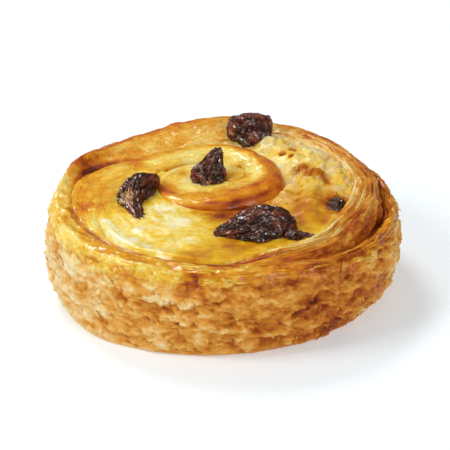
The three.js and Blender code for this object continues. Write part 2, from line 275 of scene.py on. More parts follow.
CREST_IN = [
    [-430, 0.8], [-150, 2.5], [-90, 4.5], [0, 5], [60, 3.6], [110, 1.8], [160, 1],
    [270, 1], [300, 2.8], [330, 3.2], [390, 3.4], [425, 4], [450, 5], [500, 5], [514, 5],
    [530, 7], [548, 6.4], [570, 5.4], [650, 5.4], [680, 4.4], [700, 3.2], [756, 3.2]]


# %% Following a table, easing, and lattice noise
def follow(rows, at):
    """The values at many places of a smooth curve through rows of [place, value]."""
    x, y = np.array(rows, float).T
    at = np.clip(at, x[0], x[-1] - 1e-6)
    i = np.searchsorted(x, at, side="right") - 1
    k = np.arange(len(x))
    before, after = np.maximum(k - 1, 0), np.minimum(k + 1, len(x) - 1)
    slope = (y[after] - y[before]) / (x[after] - x[before])
    span = x[i + 1] - x[i]
    t = (at - x[i]) / span
    ends = y[i] + (y[i + 1] - y[i]) * t * t * (3 - 2 * t)
    return ends + span * t * (1 - t) * (slope[i] * (1 - t) - slope[i + 1] * t)


def column(rows, turn):
    """A table's values at the turns, as a column beside the points across the section."""
    return follow(rows, turn)[:, None]


def mix(a, b, share):
    return a + (b - a) * share


def ease(value, low, high):
    """From 0 at low to 1 at high, with soft ends."""
    t = np.clip((np.asarray(value, float) - low) / (high - low), 0, 1)
    return t * t * (3 - 2 * t)


def lattice_noise(points):
    """Smooth noise from -1 to 1 on a lattice of unit cells, for an array of places."""
    cell = np.floor(points)
    u, v, w = np.moveaxis(ease(points - cell, 0, 1), -1, 0)

    def corner(*step):
        wave = np.sin((cell + step) @ np.array([12.9898, 78.233, 37.719])) * 43758.5453
        return 2 * (wave - np.floor(wave)) - 1

    def row(b, c):
        return mix(corner(0, b, c), corner(1, b, c), u)

    return mix(mix(row(0, 0), row(1, 0), v), mix(row(0, 1), row(1, 1), v), w)


def crags(rows, points):
    """Relief from rows of [length, height, how far it stands out]."""
    return sum(out * lattice_noise(points / [long, long, high]) for long, high, out in rows)


print("wall radius at the front:", round(float(follow(WALL_RADIUS, 630)), 2), "mm")


# %% [markdown]
# ## Where each turn lies
#
# The heart of the roll sits behind the middle, so the inner turns wind about the heart and the
# outer ones drift to go round the middle. The inner edge of a turn is found from the outer edge
# of the turn beneath it, plus the gap that the custard fills. Below its widest level the whole
# roll draws in a little, as a slice does where it stood on the tray.

# %% Plan of the roll
def bearing(turn):
    """The direction outwards at each turn."""
    return np.stack([np.cos(np.radians(turn)), np.sin(np.radians(turn))], -1)


def roll_centre(turn):
    return HEART * (1 - ease(turn, *DRIFT))[..., None]


def outer_radius(turn):
    return mix(follow(OUTER_EDGE, turn), follow(WALL_RADIUS, turn), ease(turn, *OUTER_WALL))


def angle_of(flat):
    return np.degrees(np.arctan2(flat[..., 1], flat[..., 0])) % 360


def draw_in(flat, height):
    """How much of its distance from the middle a place keeps at a height."""
    below = np.maximum(1 - height / WIDEST_Z, 0) ** DRAW_IN_POWER
    return 1 - follow(BASE_IN, angle_of(flat)) / WALL_RADIUS[0][1] * below


def radius_beneath(turn):
    """How far out the edge of the turn before lies, seen from each turn's centre."""
    centre, before = roll_centre(turn), turn - 360.0
    for _ in range(20):  # the bearing is put right a little at a time, as the centres differ
        edge = roll_centre(before) + bearing(before) * outer_radius(before)[:, None] - centre
        error = (angle_of(edge) - turn + 1260) % 360 - 180  # 1260 is half a turn and three more
        before = np.maximum(before - error * 0.7, STRIP[0])
    return np.hypot(*edge.T)


def inner_radius(turn):
    gap = mix(follow(GAP_WIDTH, turn), TAIL_GAP, ease(turn, *TAIL))
    beneath = mix(HEART_HOLE, radius_beneath(turn) + gap, ease(turn, *OPENING))
    return np.where(turn <= OPENING[0], HEART_HOLE, beneath)


print("the last turn lies", np.round(inner_radius(np.array([630.0])), 1), "mm from the middle")


# %% Even steps along the strip
def steps_between(places):
    """The distance from each place to the next."""
    return np.linalg.norm(np.diff(places, axis=-2), axis=-1)


def running(steps):
    """The running total of steps, from 0."""
    total = np.cumsum(steps, -1)
    return np.concatenate([np.zeros_like(total[..., :1]), total], -1)


STRIP_SPACING, FINE_TURN, LEAST_RADIUS = 0.47, 0.25, 4


def even_turns(span, spacing):
    """Turns along the strip that lie a given number of millimetres apart."""
    fine = np.arange(span[0], span[1], FINE_TURN)
    walked = running(np.maximum(outer_radius(fine), LEAST_RADIUS) * math.radians(FINE_TURN))
    count = int(walked[-1] / spacing)
    return np.interp(np.linspace(0, walked[-1], count), walked, np.append(fine, span[1]))


turns = even_turns(STRIP, STRIP_SPACING)
print("rings along the strip:", len(turns))

# %% [markdown]
# ## Sweeping a section that changes
#
# A sweep joins cross-sections into one closed skin. Here every section is different, so the
# skin is made as a grid in numpy instead of with a curve's bevel. Each section is first drawn
# finely, and then points are laid along it so that they are close together where the surface
# shows and far apart where the next turn hides it.

# %% Section tools
def spread_points(lines, weight, count):
    """Lays count points along each dense line, closer together where the weight is high."""
    heavy = steps_between(lines[..., :2]) * (weight[:, 1:] + weight[:, :-1]) / 2 + 1e-9
    share = np.linspace(0, 1, count)
    out = np.empty((len(lines), count, lines.shape[-1]))
    for i, (at, line) in enumerate(zip(running(heavy), lines)):
        for k in range(line.shape[-1]):
            out[i, :, k] = np.interp(share * at[-1], at, line[:, k])
    return out


def strand(*columns):
    """Stacks columns of equal or single width into an array of section points."""
    shape = np.broadcast_shapes(*[np.shape(c) for c in columns])
    return np.stack([np.broadcast_to(c, shape) for c in columns], -1)


def place_section(turn, points, relief):
    """Carries section points [radius, height, share] to their place, relief included."""
    out = bearing(turn)[:, None, :]
    shift = np.roll(points, 1, 1)[..., :2] - np.roll(points, -1, 1)[..., :2]
    shift[:, 0] = points[:, 0, :2] - points[:, 1, :2]
    shift[:, -1] = points[:, -2, :2] - points[:, -1, :2]
    normal = np.stack([shift[..., 1], -shift[..., 0]], -1)
    normal /= np.linalg.norm(normal, axis=-1, keepdims=True) + 1e-9
    flat = roll_centre(turn)[:, None, :] + out * points[..., :1]
    flat = flat * draw_in(flat, points[..., 1])[..., None]
    place = np.concatenate([flat, points[..., 1:2]], -1)
    depth = points[..., 2:3] * relief(place, normal[..., 1])[..., None]
    return place + np.concatenate([out * normal[..., :1], normal[..., 1:]], -1) * depth


# %% [markdown]
# ## The strip of dough
#
# The section runs from the base up the inner face, over a round lip, across the top, over the
# crest's shoulder and down the outer face. On the last turn that face is the pastry's wall.
# Where custard has flowed over the lip in front, the dough lies a little lower, so that the film
# of custard has room. Beside its place, every point keeps how far along and across the strip it
# lies: flakes, streaks and layers follow the strip, so they are drawn on those two lengths.

# %% Dense sections of the strip
WALL_CRAGS = [[9, 4.5, 0.5], [4, 2.4, 0.2]]
TOP_CRAGS = [[7, 7, 0.4], [3, 3, 0.22]]
OVERFLOW = [[178, 0], [192, 0.3], [206, 0.62], [226, 1], [255, 1], [270, 0.8], [284, 0.3], [298, 0]]
OVERFLOW_DEPTH = 0.9


def steps_to(end, count):
    """Even steps up to an end, as a row. 0 is left out, as the part before ends there."""
    return np.linspace(0, end, count)[None, 1:]


def strip_lines(turn):
    """Each section as dense points [radius, height, relief, share of the top, share of the side]."""
    inner, outer = inner_radius(turn)[:, None], outer_radius(turn)[:, None]
    covered = OVERFLOW_DEPTH * ease(column(OVERFLOW, turn), 0.15, 0.8)
    lip_z, crest_z = column(LIP_Z, turn) - covered, column(CREST_Z, turn) - covered
    face_z, on_wall = column(FACE_Z, turn), ease(turn, *OUTER_WALL)[:, None]
    shoulder = np.minimum(column(CREST_IN, turn), (outer - inner) * 0.45)
    lip = np.minimum(LIP_RADIUS, (outer - shoulder - inner) * 0.4)
    foot = mix(FIT, FOOT_RADIUS, on_wall)
    up = np.linspace(0, 1, 40)[None, :-1]
    bend = np.radians(np.linspace(0, 90, 12))[None, :]
    top, over, down = steps_to(1, 60), steps_to(90, 60), steps_to(1, 70)
    side, high = (wave(np.radians(over)) ** (2 / SHOULDER_POWER) for wave in (np.sin, np.cos))
    round_foot = np.radians(steps_to(90, 9))
    return np.concatenate([
        strand(inner, (lip_z - lip) * up, 0, 0, up - 1),
        strand(inner + lip * (1 - np.cos(bend)), lip_z + lip * (np.sin(bend) - 1), 0, 0, 0),
        strand(mix(inner + lip, outer - shoulder, top), mix(lip_z, crest_z, ease(top, 0, 1)),
               0.6 * ease(top, 0, 0.25), top, 0),
        strand(outer - shoulder * (1 - side), mix(face_z, crest_z, high),
               mix(mix(0.3, 1, on_wall), on_wall, over / 90), 1, side ** 2),
        strand(outer, mix(face_z, foot, down), on_wall * (1 - 0.6 * down ** 4), 1, 1 + down),
        strand(outer - foot * (1 - np.cos(round_foot)), foot * (1 - np.sin(round_foot)),
               0.4 * on_wall * (1 - round_foot / np.radians(90)), 1, 2)], 1)


STRIP_POINTS = 80
lines, on_wall = strip_lines(turns), ease(turns, *OUTER_WALL)[:, None]
shown = mix(ease(lines[..., 1], 18, 21), 1, (lines[..., 4] > 0.5) * ease(on_wall, 0.05, 0.6))
points = spread_points(lines, 0.06 + shown, STRIP_POINTS)
print("strip sections:", points.shape[0], "of", points.shape[1], "points")

# %% [markdown]
# ## How brown each place is
#
# In the oven the crests brown first, the sheltered lips stay pale, and sugar that ran out of the
# custard turns dark in the creases. Four short tables give the browning along the strip, one for
# each part of the section. Named spots and drawn lines add what happened in one place only, and
# a line can also press a crease into the surface. Some of them paint light rather than browning:
# shade beside the middle raisin and at the heart, highlights of the glaze on the coil, and shade
# in the lap creases of the wall. A picture laid on top could do this too, but numbers painted on
# the mesh stay sharp at any size and can be changed one by one.

# %% Browning along and across the strip
LIP_BROWN = [
    [-430, 0.12], [-60, 0.18], [0, 0.24], [100, 0.2], [150, 0.24], [180, 0.26], [200, 0.1],
    [250, 0.08], [268, 0.26], [280, 0.2], [300, 0.16], [325, 0.3], [345, 0.24], [380, 0.14],
    [430, 0.2], [470, 0.24], [494, 0.3], [504, 0.66], [524, 0.68], [536, 0.34], [560, 0.26],
    [590, 0.28], [640, 0.32], [668, 0.66], [700, 0.75], [730, 0.7], [756, 0.55]]
TOP_BROWN = [
    [-430, 0.04], [-260, 0.06], [-140, 0.1], [-60, 0.18], [0, 0.12], [60, 0.1], [120, 0.12],
    [150, 0.18], [180, 0.3], [192, 0.28], [205, 0.14], [240, 0.1], [262, 0.4], [285, 0.45],
    [300, 0.34], [340, 0.38], [400, 0.34], [440, 0.24], [500, 0.27], [560, 0.26], [620, 0.34],
    [650, 0.46], [700, 0.54], [756, 0.45]]
CREST_BROWN = [
    [-430, 0.16], [-200, 0.18], [-110, 0.3], [-60, 0.36], [-15, 0.44], [30, 0.5], [70, 0.4],
    [110, 0.36], [150, 0.34], [190, 0.36], [205, 0.2], [230, 0.25], [250, 0.4], [280, 0.5],
    [300, 0.46], [330, 0.5], [400, 0.5], [450, 0.36], [470, 0.5], [500, 0.56], [530, 0.2],
    [600, 0.14], [630, 0.34], [660, 0.46], [700, 0.46], [756, 0.38]]
FACE_BROWN = [
    [-430, 0.4], [-140, 0.46], [-110, 0.66], [-60, 0.62], [-40, 0.54], [0, 0.5], [60, 0.48],
    [130, 0.5], [200, 0.6], [290, 0.56], [320, 0.6], [400, 0.56], [440, 0.36], [530, 0.2],
    [575, 0.17], [600, 0.27], [630, 0.39], [650, 0.5], [670, 0.56], [690, 0.44], [730, 0.3],
    [756, 0.34]]


def across_mix(turn, top, side):
    """Blends the four tables from the lip (top 0) to the crest (1) and down the face."""
    level = mix(column(LIP_BROWN, turn), column(TOP_BROWN, turn), ease(top, 0, 0.35))
    crest_from = mix(0.55, 0.8, ease(turn, 400, 440) * (1 - ease(turn, 620, 660)))[:, None]
    level = mix(level, column(CREST_BROWN, turn), ease(top, crest_from, 1))
    return mix(level, column(FACE_BROWN, turn), ease(side, 0.3, 1))


print("browning on the crest in front:", np.round(follow(CREST_BROWN, 630), 2))

# %% Spots and drawn lines
# Most spots are browning; some paint light: shade beside the middle raisin and at the heart, and glaze
# highlights on the coil.
BAKE_AND_PAINTED_LIGHT_SPOTS = {  # a place on the roll: x, y, height, reach, how much browner (or paler)
    "dimple in the coil": (-11.3, 12.1, 26.5, 1.9, 0.3),
    "shade beside the middle raisin": (2.6, 10.4, 27, 3.6, 0.22),
    "lip near the left raisin": (-15.3, 0.9, 26, 2.6, 0.25),
    "toffee under the coil": (3, -4.6, 23.4, 3.4, 0.4),
    "orange glaze at the coil's left": (-17, 4.2, 25.5, 3.2, 0.2),
    # Painted highlights: paler spots where the glaze on the coil glints.
    "painted glaze highlight behind the heart": (2.8, 18, 28, 2.4, -0.16),
    "painted glaze highlight beside the heart": (6.6, 13, 28, 2.2, -0.14),
    "pale top of the coil": (10, 10, 28, 4, -0.1),
    "pale top of the coil, left": (-7, 5, 27.5, 4, -0.06),
    # Painted highlight: a paler spot where the glaze glints.
    "painted glaze highlight right of the raisin": (1.6, 13.2, 28, 2, -0.2),
    "golden side of the coil": (7.5, 2.6, 28, 3.2, 0.18),
    "pale back of the coil": (-7.4, 18.3, 27.5, 4, -0.22),
    "browned layers of the right rim": (33.6, -14, 26, 5, 0.12),
    "shade of the heart": (1.4, 10.6, 28, 2, 0.14),
    "orange streak, back left": (-25, 18, 25.5, 3, 0.16),
    "back left turn": (-24.5, 21.5, 25.5, 3.2, 0.16),
    "left turn": (-37.3, -6.5, 25, 2.6, 0.24),
    "left turn, low": (-32, -6, 25, 2.4, 0.2),
    "corner of the outer wrap": (-41.5, 18.7, 26.5, 4.4, 0.36),
    "pocket": (-37, 18, 25.5, 3.6, 0.16),
    "front of the top": (3, -34, 25, 6, 0.12),
    "sugar spot on the wall": (-9.6, -48.2, 21.4, 1.7, 0.36),
    "foot at the right": (29, -38, 3, 3, 0.22),
    "pale shoulder at the left": (-43, -2, 24, 6, -0.04),
    "golden shoulder at the left": (-30, -37, 23.5, 9, 0.12),
    "golden rim at the back": (-15, 37, 26, 7, 0.08),
    "pale shoulder in front": (2, -46, 22, 5, -0.05),
    "brown step under the rim": (17, -38.5, 23, 3.4, 0.16),
}
POOL_EDGE = [
    (-42, -9, 25), (-38.3, -17.8, 24.9), (-35.4, -22.4, 25), (-29.9, -29.3, 24.8),
    (-23, -34.4, 24.9), (-14.5, -38.5, 25), (-4.4, -41.7, 25.2), (3, -42.6, 25.1)]
BAKE_AND_PAINTED_SHADE_LINES = {  # how wide, how much browner, how deep in mm, and the line: x, y, height
    "crease in the coil": (0.8, 0.34, 0.6, [
        (-5.5, -6.9, 25.8), (2.5, -6.9, 25.8), (8.9, -4.3, 26.4), (12.2, -2, 26.8), (16.2, 2.4, 26.1)]),
    "orange band over the crease": (2.8, 0.14, -0.3, [
        (-8, -2, 26.3), (0, -2.6, 26.9), (6, -1.8, 27.3), (12, 1.4, 27.6), (15.4, 6, 27)]),
    "right edge of the coil": (1.3, 0.12, 0.1, [
        (5, 25.4, 27.8), (9.5, 23, 27.6), (13, 18.6, 27.3), (15.2, 12.6, 27), (15.6, 7, 26.8)]),
    "edge of the pool": (1.3, 0.3, 0.2, POOL_EDGE),
    "left end of the coil": (1.8, 0.2, 0.1, [(-18.4, 3.8, 25.4), (-15.3, 0.3, 25.7), (-12, -2, 25.7)]),
    "line behind the second turn": (0.8, 0.14, 0.3, [
        (-36, 21.6, 26.2), (-27, 27, 25.6), (-17.5, 29.7, 25.5), (-12, 32, 25.9)]),
    "sugar run on the wall": (1.2, 0.34, 0.2, [
        (-7, -47.2, 24.2), (-5.9, -48.9, 21.5), (-4.6, -49.7, 18.6)]),
    # The lap creases are browner partly from baking and partly as painted shade in the crease.
    "lap crease": (0.9, 0.34, 0.8, [
        (16, -48, 11), (19.5, -45.9, 12.5), (24.8, -42.9, 15), (28.6, -40.4, 16.3)]),
    "lap crease, upper": (0.9, 0.28, 0.7, [
        (30.4, -36.6, 23.4), (34.8, -32, 21.8), (39.2, -26, 21.2), (43, -19, 21)]),
    "seam in the flap": (0.8, 0.2, 0.5, [(39.5, -27.6, 14), (43.6, -21, 16.4), (46.4, -14, 18)]),
}


def near_spot(place, spot, reach):
    """How near each place is to a spot: 1 on it, 0 far from it."""
    return np.exp(-((place - spot) ** 2).sum(-1) / reach ** 2)


def near_line(place, line, reach):
    """How near each place is to a line through a few points: 1 on it, 0 far from it."""
    best = np.full(place.shape[:-1], np.inf)
    line = np.array(line, float)
    for a, b in zip(line[:-1], line[1:]):
        t = np.clip((place - a) @ (b - a) / ((b - a) @ (b - a)), 0, 1)
        best = np.minimum(best, ((place - a - t[..., None] * (b - a)) ** 2).sum(-1))
    return np.exp(-best / reach ** 2)


BROWNER, DEEPER = 1, 2  # the columns of a table of lines


def line_sum(lines, place, which):
    """How much browner or deeper all the drawn lines make each place, here more and there less."""
    varied = 0.85 + 0.5 * lattice_noise(place / 3.0)
    return varied * sum(row[which] * near_line(place, row[3], row[0]) for row in lines.values())


def spot_sum(spots, place):
    """How much browner all the named spots make each place."""
    return sum(more * near_spot(place, spot, reach) for *spot, reach, more in spots.values())


print("named spots:", len(BAKE_AND_PAINTED_LIGHT_SPOTS), "and lines:", len(BAKE_AND_PAINTED_SHADE_LINES))


# %% Build the bare strip
def strip_relief(place, up):
    """Crags of the wall or of the top, whichever way the surface faces, and the creases."""
    rough = mix(crags(WALL_CRAGS, place), crags(TOP_CRAGS, place), up ** 2)
    return rough - line_sum(BAKE_AND_PAINTED_SHADE_LINES, place, DEEPER)


TOP_POINT = 40  # a point of every ring that lies on top


def lengths_along(rings):
    """How far along the strip each ring lies, as a column."""
    return running(steps_between(rings[:, TOP_POINT]))[:, None]


rings = place_section(turns, points, strip_relief)
rings[..., 2] = np.maximum(rings[..., 2], 0)
top_share, side_share = points[..., 3], points[..., 4]
# browning here also holds the painted shade and highlights of some spots and lines.
browning = across_mix(turns, top_share, side_share) + spot_sum(BAKE_AND_PAINTED_LIGHT_SPOTS, rings)
browning = browning + line_sum(BAKE_AND_PAINTED_SHADE_LINES, rings, BROWNER)
along, across = lengths_along(rings), running(steps_between(points[..., :2]))
crest_at = np.argmax(top_share >= 1, axis=1)[:, None]
place_along = strand(along, across - np.take_along_axis(across, crest_at, 1), 0)
print("strip length", round(float(along[-1, 0])), "mm; browning from", np.round(browning.min(), 2))

# %% [markdown]
# ## Blisters, flakes and layers on the crust
#
# Laminated dough puffs into long blisters, its thin outer sheets tear into flakes with a step at
# their edge, and where a cut shows, the layers stand out as fine ridges. All of that follows the
# surface. Sculpting could do it, but only by hand. A Geometry Nodes tree moves the skin along
# its normals instead. Masks painted on the mesh say where each kind of relief may act, and the
# tree stores how raised a place is, for the colour.

# %% Node groups and what their trees share
def new_group(name, inputs, build, output=("Geometry", "Geometry")):
    """A node group with one output, whose tree a function builds from its inputs by name.

    An input is given by its default, or by its sort where it has none."""
    kind = "GeometryNodeTree" if output[1] == "Geometry" else "ShaderNodeTree"
    tree = bpy.data.node_groups.new(name, kind)
    for label, value in inputs.items():
        sort = value if isinstance(value, str) else type(value).__name__.capitalize()
        socket = tree.interface.new_socket(label, in_out="INPUT", socket_type="NodeSocket" + sort)
        if sort != value:
            socket.default_value = value
    tree.interface.new_socket(output[0], in_out="OUTPUT", socket_type="NodeSocket" + output[1])
    entry = {s.name: Term(s) for s in tree.nodes.new("NodeGroupInput").outputs}
    feed(tree.nodes.new("NodeGroupOutput"), {output[0]: build(entry)})
    print(name, "has", len(tree.nodes), "nodes")
    return tree


def attribute(geometry, name, kind="FLOAT"):
    """What was painted on the mesh under a name."""
    return term(geometry.tree, "GeometryNodeInputNamedAttribute", {"Name": name}, data_type=kind)


def store(geometry, name, value):
    inputs = {"Geometry": geometry, "Name": name, "Value": value}
    return term(geometry.tree, "GeometryNodeStoreNamedAttribute", inputs, data_type="FLOAT", domain="POINT")


def push_out(geometry, distance):
    """Moves a surface along its normals."""
    offset = term(geometry.tree, "GeometryNodeInputNormal") * distance
    return term(geometry.tree, "GeometryNodeSetPosition", {"Geometry": geometry, "Offset": offset})


def ended(geometry, finish):
    """Realizes instances and gives the finish, which ends every tree here."""
    real = term(geometry.tree, "GeometryNodeRealizeInstances", {"Geometry": geometry})
    return term(geometry.tree, "GeometryNodeSetMaterial", {"Geometry": real, "Material": finish})


# %% Geometry Nodes: relief of the crust
def together(*parts):
    """Three numbers or terms as one vector."""
    tree = next(part.tree for part in parts if isinstance(part, Term))
    return term(tree, "ShaderNodeCombineXYZ", enumerate(parts))


def remap(value, low, high, to_low=0, to_high=1, kind="SMOOTHSTEP"):
    """Carries a value from one span to another, and stops at its ends."""
    spans = {"Value": value, "From Min": low, "From Max": high, "To Min": to_low, "To Max": to_high}
    return term(value.tree, "ShaderNodeMapRange", spans, interpolation_type=kind)


def torn_plates(place, length, width, seed):
    """Ragged plates at random places: how far each stands out, tilted, about 0.5."""
    where = place * together(1 / length, 1 / width, 1) + together(0, 0, seed * 3.7)
    fray = {"Vector": where, "Scale": 1.7, "Detail": 3}
    where = where + term(place.tree, "ShaderNodeTexNoise", fray, out="Color") * (1.1, 1.1, 0)
    cell = term(place.tree, "ShaderNodeTexVoronoi", {"Vector": where, "Scale": 1}, out="Color")
    tilt = calc("DOT_PRODUCT", where - cell.beside("Position"), cell - (0.5, 0.5, 0.5))
    return term(place.tree, "ShaderNodeSeparateXYZ", {0: cell}) + tilt


def sheets(place, spacing, seed):
    """Thin sheets of dough seen from their edge: a level for each sheet, and the crack between."""
    wander = noise_at(place * (45, 130, 1), detail=2, distortion=0.4, seed=seed)
    along = term(place.tree, "ShaderNodeSeparateXYZ", {0: place})
    phase = along.beside("Y") / spacing + wander * 5
    row = together(along * 75, calc("FLOOR", phase) * 5.37, 0)
    sheet = noise_at(row, detail=2, seed=seed)
    middle = calc("ABSOLUTE", calc("FRACT", phase) - 0.5)
    return remap(sheet, 0.3, 0.7), remap(middle, 0.3, 0.5)


FLAKE_SHARE = 0.45  # a flake's size beside that of a torn plate


def crust_tree(entry):
    """Blisters, torn plates and flakes where the mask is blistered, sheets where it is layered."""
    skin, seed = entry["Geometry"], entry["Seed"]
    place = attribute(skin, "place_along", "FLOAT_VECTOR")
    blistered, layered = attribute(skin, "blistered"), attribute(skin, "layered")
    long = together(1 / entry["Blister Length"], 1 / entry["Blister Width"], 1)
    blister = remap(noise_at(place * long, detail=2.5, distortion=0.5, seed=seed), 0.34, 0.7)
    size = (entry["Plate Length"], entry["Plate Width"])
    plate = torn_plates(place, *size, seed)
    flake = torn_plates(place, *[side * FLAKE_SHARE for side in size], seed + 11)
    sheet, crack = sheets(place, entry["Layer Spacing"], seed)
    parts = [(blister - 0.5, "Blister Height", 0.35), (plate - 0.5, "Plate Step", 0.45),
             (flake - 0.5, "Flake Step", 0.35)]
    lift = sum(part * entry[height] for part, height, _ in parts) * blistered
    lift = lift + (sheet - crack) * entry["Layer Height"] * layered
    raised = sum(part * share for part, _, share in parts) * blistered
    return ended(push_out(store(skin, "raised", raised), lift), entry["Finish"])


crust_relief = new_group("crust_relief", {
    "Geometry": "Geometry", "Blister Length": 0.007, "Blister Width": 0.0034, "Blister Height": 0.001,
    "Plate Length": 0.0046, "Plate Width": 0.0023, "Plate Step": 0.0009, "Flake Step": 0.0004,
    "Layer Spacing": 0.0014, "Layer Height": 0.0004, "Seed": 4.0, "Finish": "Material"}, crust_tree)

# %% [markdown]
# ## Shared effects in the finishes
#
# Browning is one number from raw (0) to dark (1). One group breaks the number up into patches
# and speckles at the scale of real dough, and paints what stands out paler and the hollows
# browner, which is partly real browning and partly painted shade. Another turns the number into
# a crust colour, more yellow where egg wash lies. Egg wash is a mask for the clear coat, thicker
# where the brush left it. Dough, flakes and custard share them, each with its own values.

# %% Shader groups: uneven browning with painted shade in hollows, crust colour and egg wash
def within_one(total):
    """Stops a sum or product at 0 and 1."""
    total.socket.node.use_clamp = True
    return total


def browning_tree(entry):
    """Browning in patches and speckles, paler on what stands out and browner in the hollows, partly as
    painted shade.
    """
    place, seed = entry["Place"] * together(entry["Stretch"], 1, 1), entry["Seed"]
    patch = noise_at(place, 1 / entry["Patch Size"], 4, 0.6, 0.6, seed)
    speckle = noise_at(place, 1 / entry["Speckle Size"], 3, 0.6, 0.3, seed + 5)
    patch = (patch - 0.5) * (entry["Patch Strength"] * 2)
    speckle = (speckle - 0.5) * (entry["Speckle Strength"] * 2)
    # Raised places are painted paler and hollows browner: partly real browning, partly painted shade.
    lift = entry["Raised"] * entry["Raised Effect"]
    return within_one(entry["Brown"] + lift + (patch + speckle))


uneven_browning = new_group("uneven_browning", {
    "Brown": 0.4, "Raised": 0.0, "Place": "Vector", "Raised Effect": -0.2, "Patch Size": 0.006,
    "Patch Strength": 0.3, "Speckle Size": 0.0011, "Speckle Strength": 0.1, "Stretch": 0.5,
    "Seed": 0.0}, browning_tree, ("Brown", "Float"))


def colour_ramp(value, stops):
    """The colour at a value, in even steps between stops of (place, colour) from 0 to 1."""
    tone = term(value.tree, "ShaderNodeValToRGB", {"Fac": value}, out="Color")
    ramp = tone.socket.node.color_ramp
    ramp.interpolation = "LINEAR"
    for at, colour in stops:
        stop = ramp.elements[-int(at)] if at in (0, 1) else ramp.elements.new(at)
        stop.color = (*colour, 1)
    return tone


CRUST_TONES = [
    (0, (0.93, 0.77, 0.46)), (0.16, (0.89, 0.6, 0.25)), (0.34, (0.78, 0.375, 0.06)),
    (0.52, (0.6, 0.2, 0.02)), (0.7, (0.4, 0.085, 0.01)), (0.87, (0.21, 0.034, 0.006)),
    (1, (0.085, 0.014, 0.005))]
GLAZE_TONES = [
    (0, (0.94, 0.79, 0.27)), (0.16, (0.88, 0.585, 0.075)), (0.34, (0.77, 0.34, 0.004)),
    (0.52, (0.64, 0.18, 0.004)), (0.7, (0.44, 0.07, 0.004)), (0.87, (0.24, 0.03, 0.004)),
    (1, (0.10, 0.012, 0.003))]


def tone_tree(entry):
    """The colour of dry crust, or of crust under egg wash."""
    dry, wet = (colour_ramp(entry["Brown"], tones) for tones in (CRUST_TONES, GLAZE_TONES))
    return blend_colour(remap(entry["Glazed"], 0.1, 0.8), dry, wet)


crust_tone = new_group("crust_tone", {"Brown": 0.4, "Glazed": 0.0}, tone_tree, ("Color", "Color"))


def wash_tree(entry):
    """The strength of the clear coat, which the brush left uneven."""
    brush = noise_at(entry["Place"], 1 / entry["Brush Width"], 2, 0.5, 0.5, entry["Seed"])
    return within_one(entry["Glazed"] * remap(brush, 0.34, 0.6, 0.12, 1))


egg_wash = new_group("egg_wash", {"Glazed": 0.5, "Place": "Vector", "Brush Width": 0.004, "Seed": 0.0},
                     wash_tree, ("Coat", "Float"))


def use(group, **inputs):
    """Places a shared effect with its inputs, and returns its output."""
    tree = next(value.tree for value in inputs.values() if isinstance(value, Term))
    named = {key.replace("_", " "): value for key, value in inputs.items()}
    return term(tree, "ShaderNodeGroup", named, node_tree=group)


def painted(tree, name, out="Fac"):
    """What was painted on the piece, or stored by its tree, under a name."""
    return term(tree, "ShaderNodeAttribute", out=out, attribute_name=name)


def bump(height, distance, strength, **below):
    """Fine relief that only tilts the light, on top of another bump where one is given."""
    inputs = {"Height": height, "Distance": distance, "Strength": strength, **below}
    return term(height.tree, "ShaderNodeBump", inputs)


# %% [markdown]
# ## The finish of the dough
#
# Baked dough is matt and floury where it is dry, and glossy where egg wash or syrup lies. Light
# goes a little way in, so a touch of subsurface softens it. Streaks run along the strip, as the
# rolling pin stretched it, blots cross it, and where layers are open each sheet's edge is a
# tone of its own, with painted shade in the cracks between the sheets. Steps too fine for the
# mesh are bump: flakes, then drops of syrup in the wettest places, then the streaks.

# %% Dough finish
baked_dough, tree, shader = new_finish(
    "baked_dough", Subsurface_Weight=0.12, Subsurface_Radius=(1.0, 0.45, 0.15), Subsurface_Scale=0.0025,
    Specular_IOR_Level=0.16, Specular_Tint=(1.0, 0.78, 0.4, 1), Coat_Roughness=0.09, Coat_IOR=1.5)
FINE_SHEET = 0.0006


def layer_lines(place, layered):
    """How much browner or paler the edge of each sheet is where the layers are open, with painted shade in
    the cracks between sheets.
    """
    sheet, crack = sheets(place, FINE_SHEET, 4)
    # Each sheet has its own tone; crack * 0.2 is painted shade in the cracks between the sheets.
    tone = (sheet - 0.5) * -0.5 + crack * 0.2
    broken = noise_at(place * (130, 210, 1), 1, 3, 0.6, 0.6, seed=14)
    return tone * remap(broken, 0.38, 0.62, 0.2, 1.2) * layered


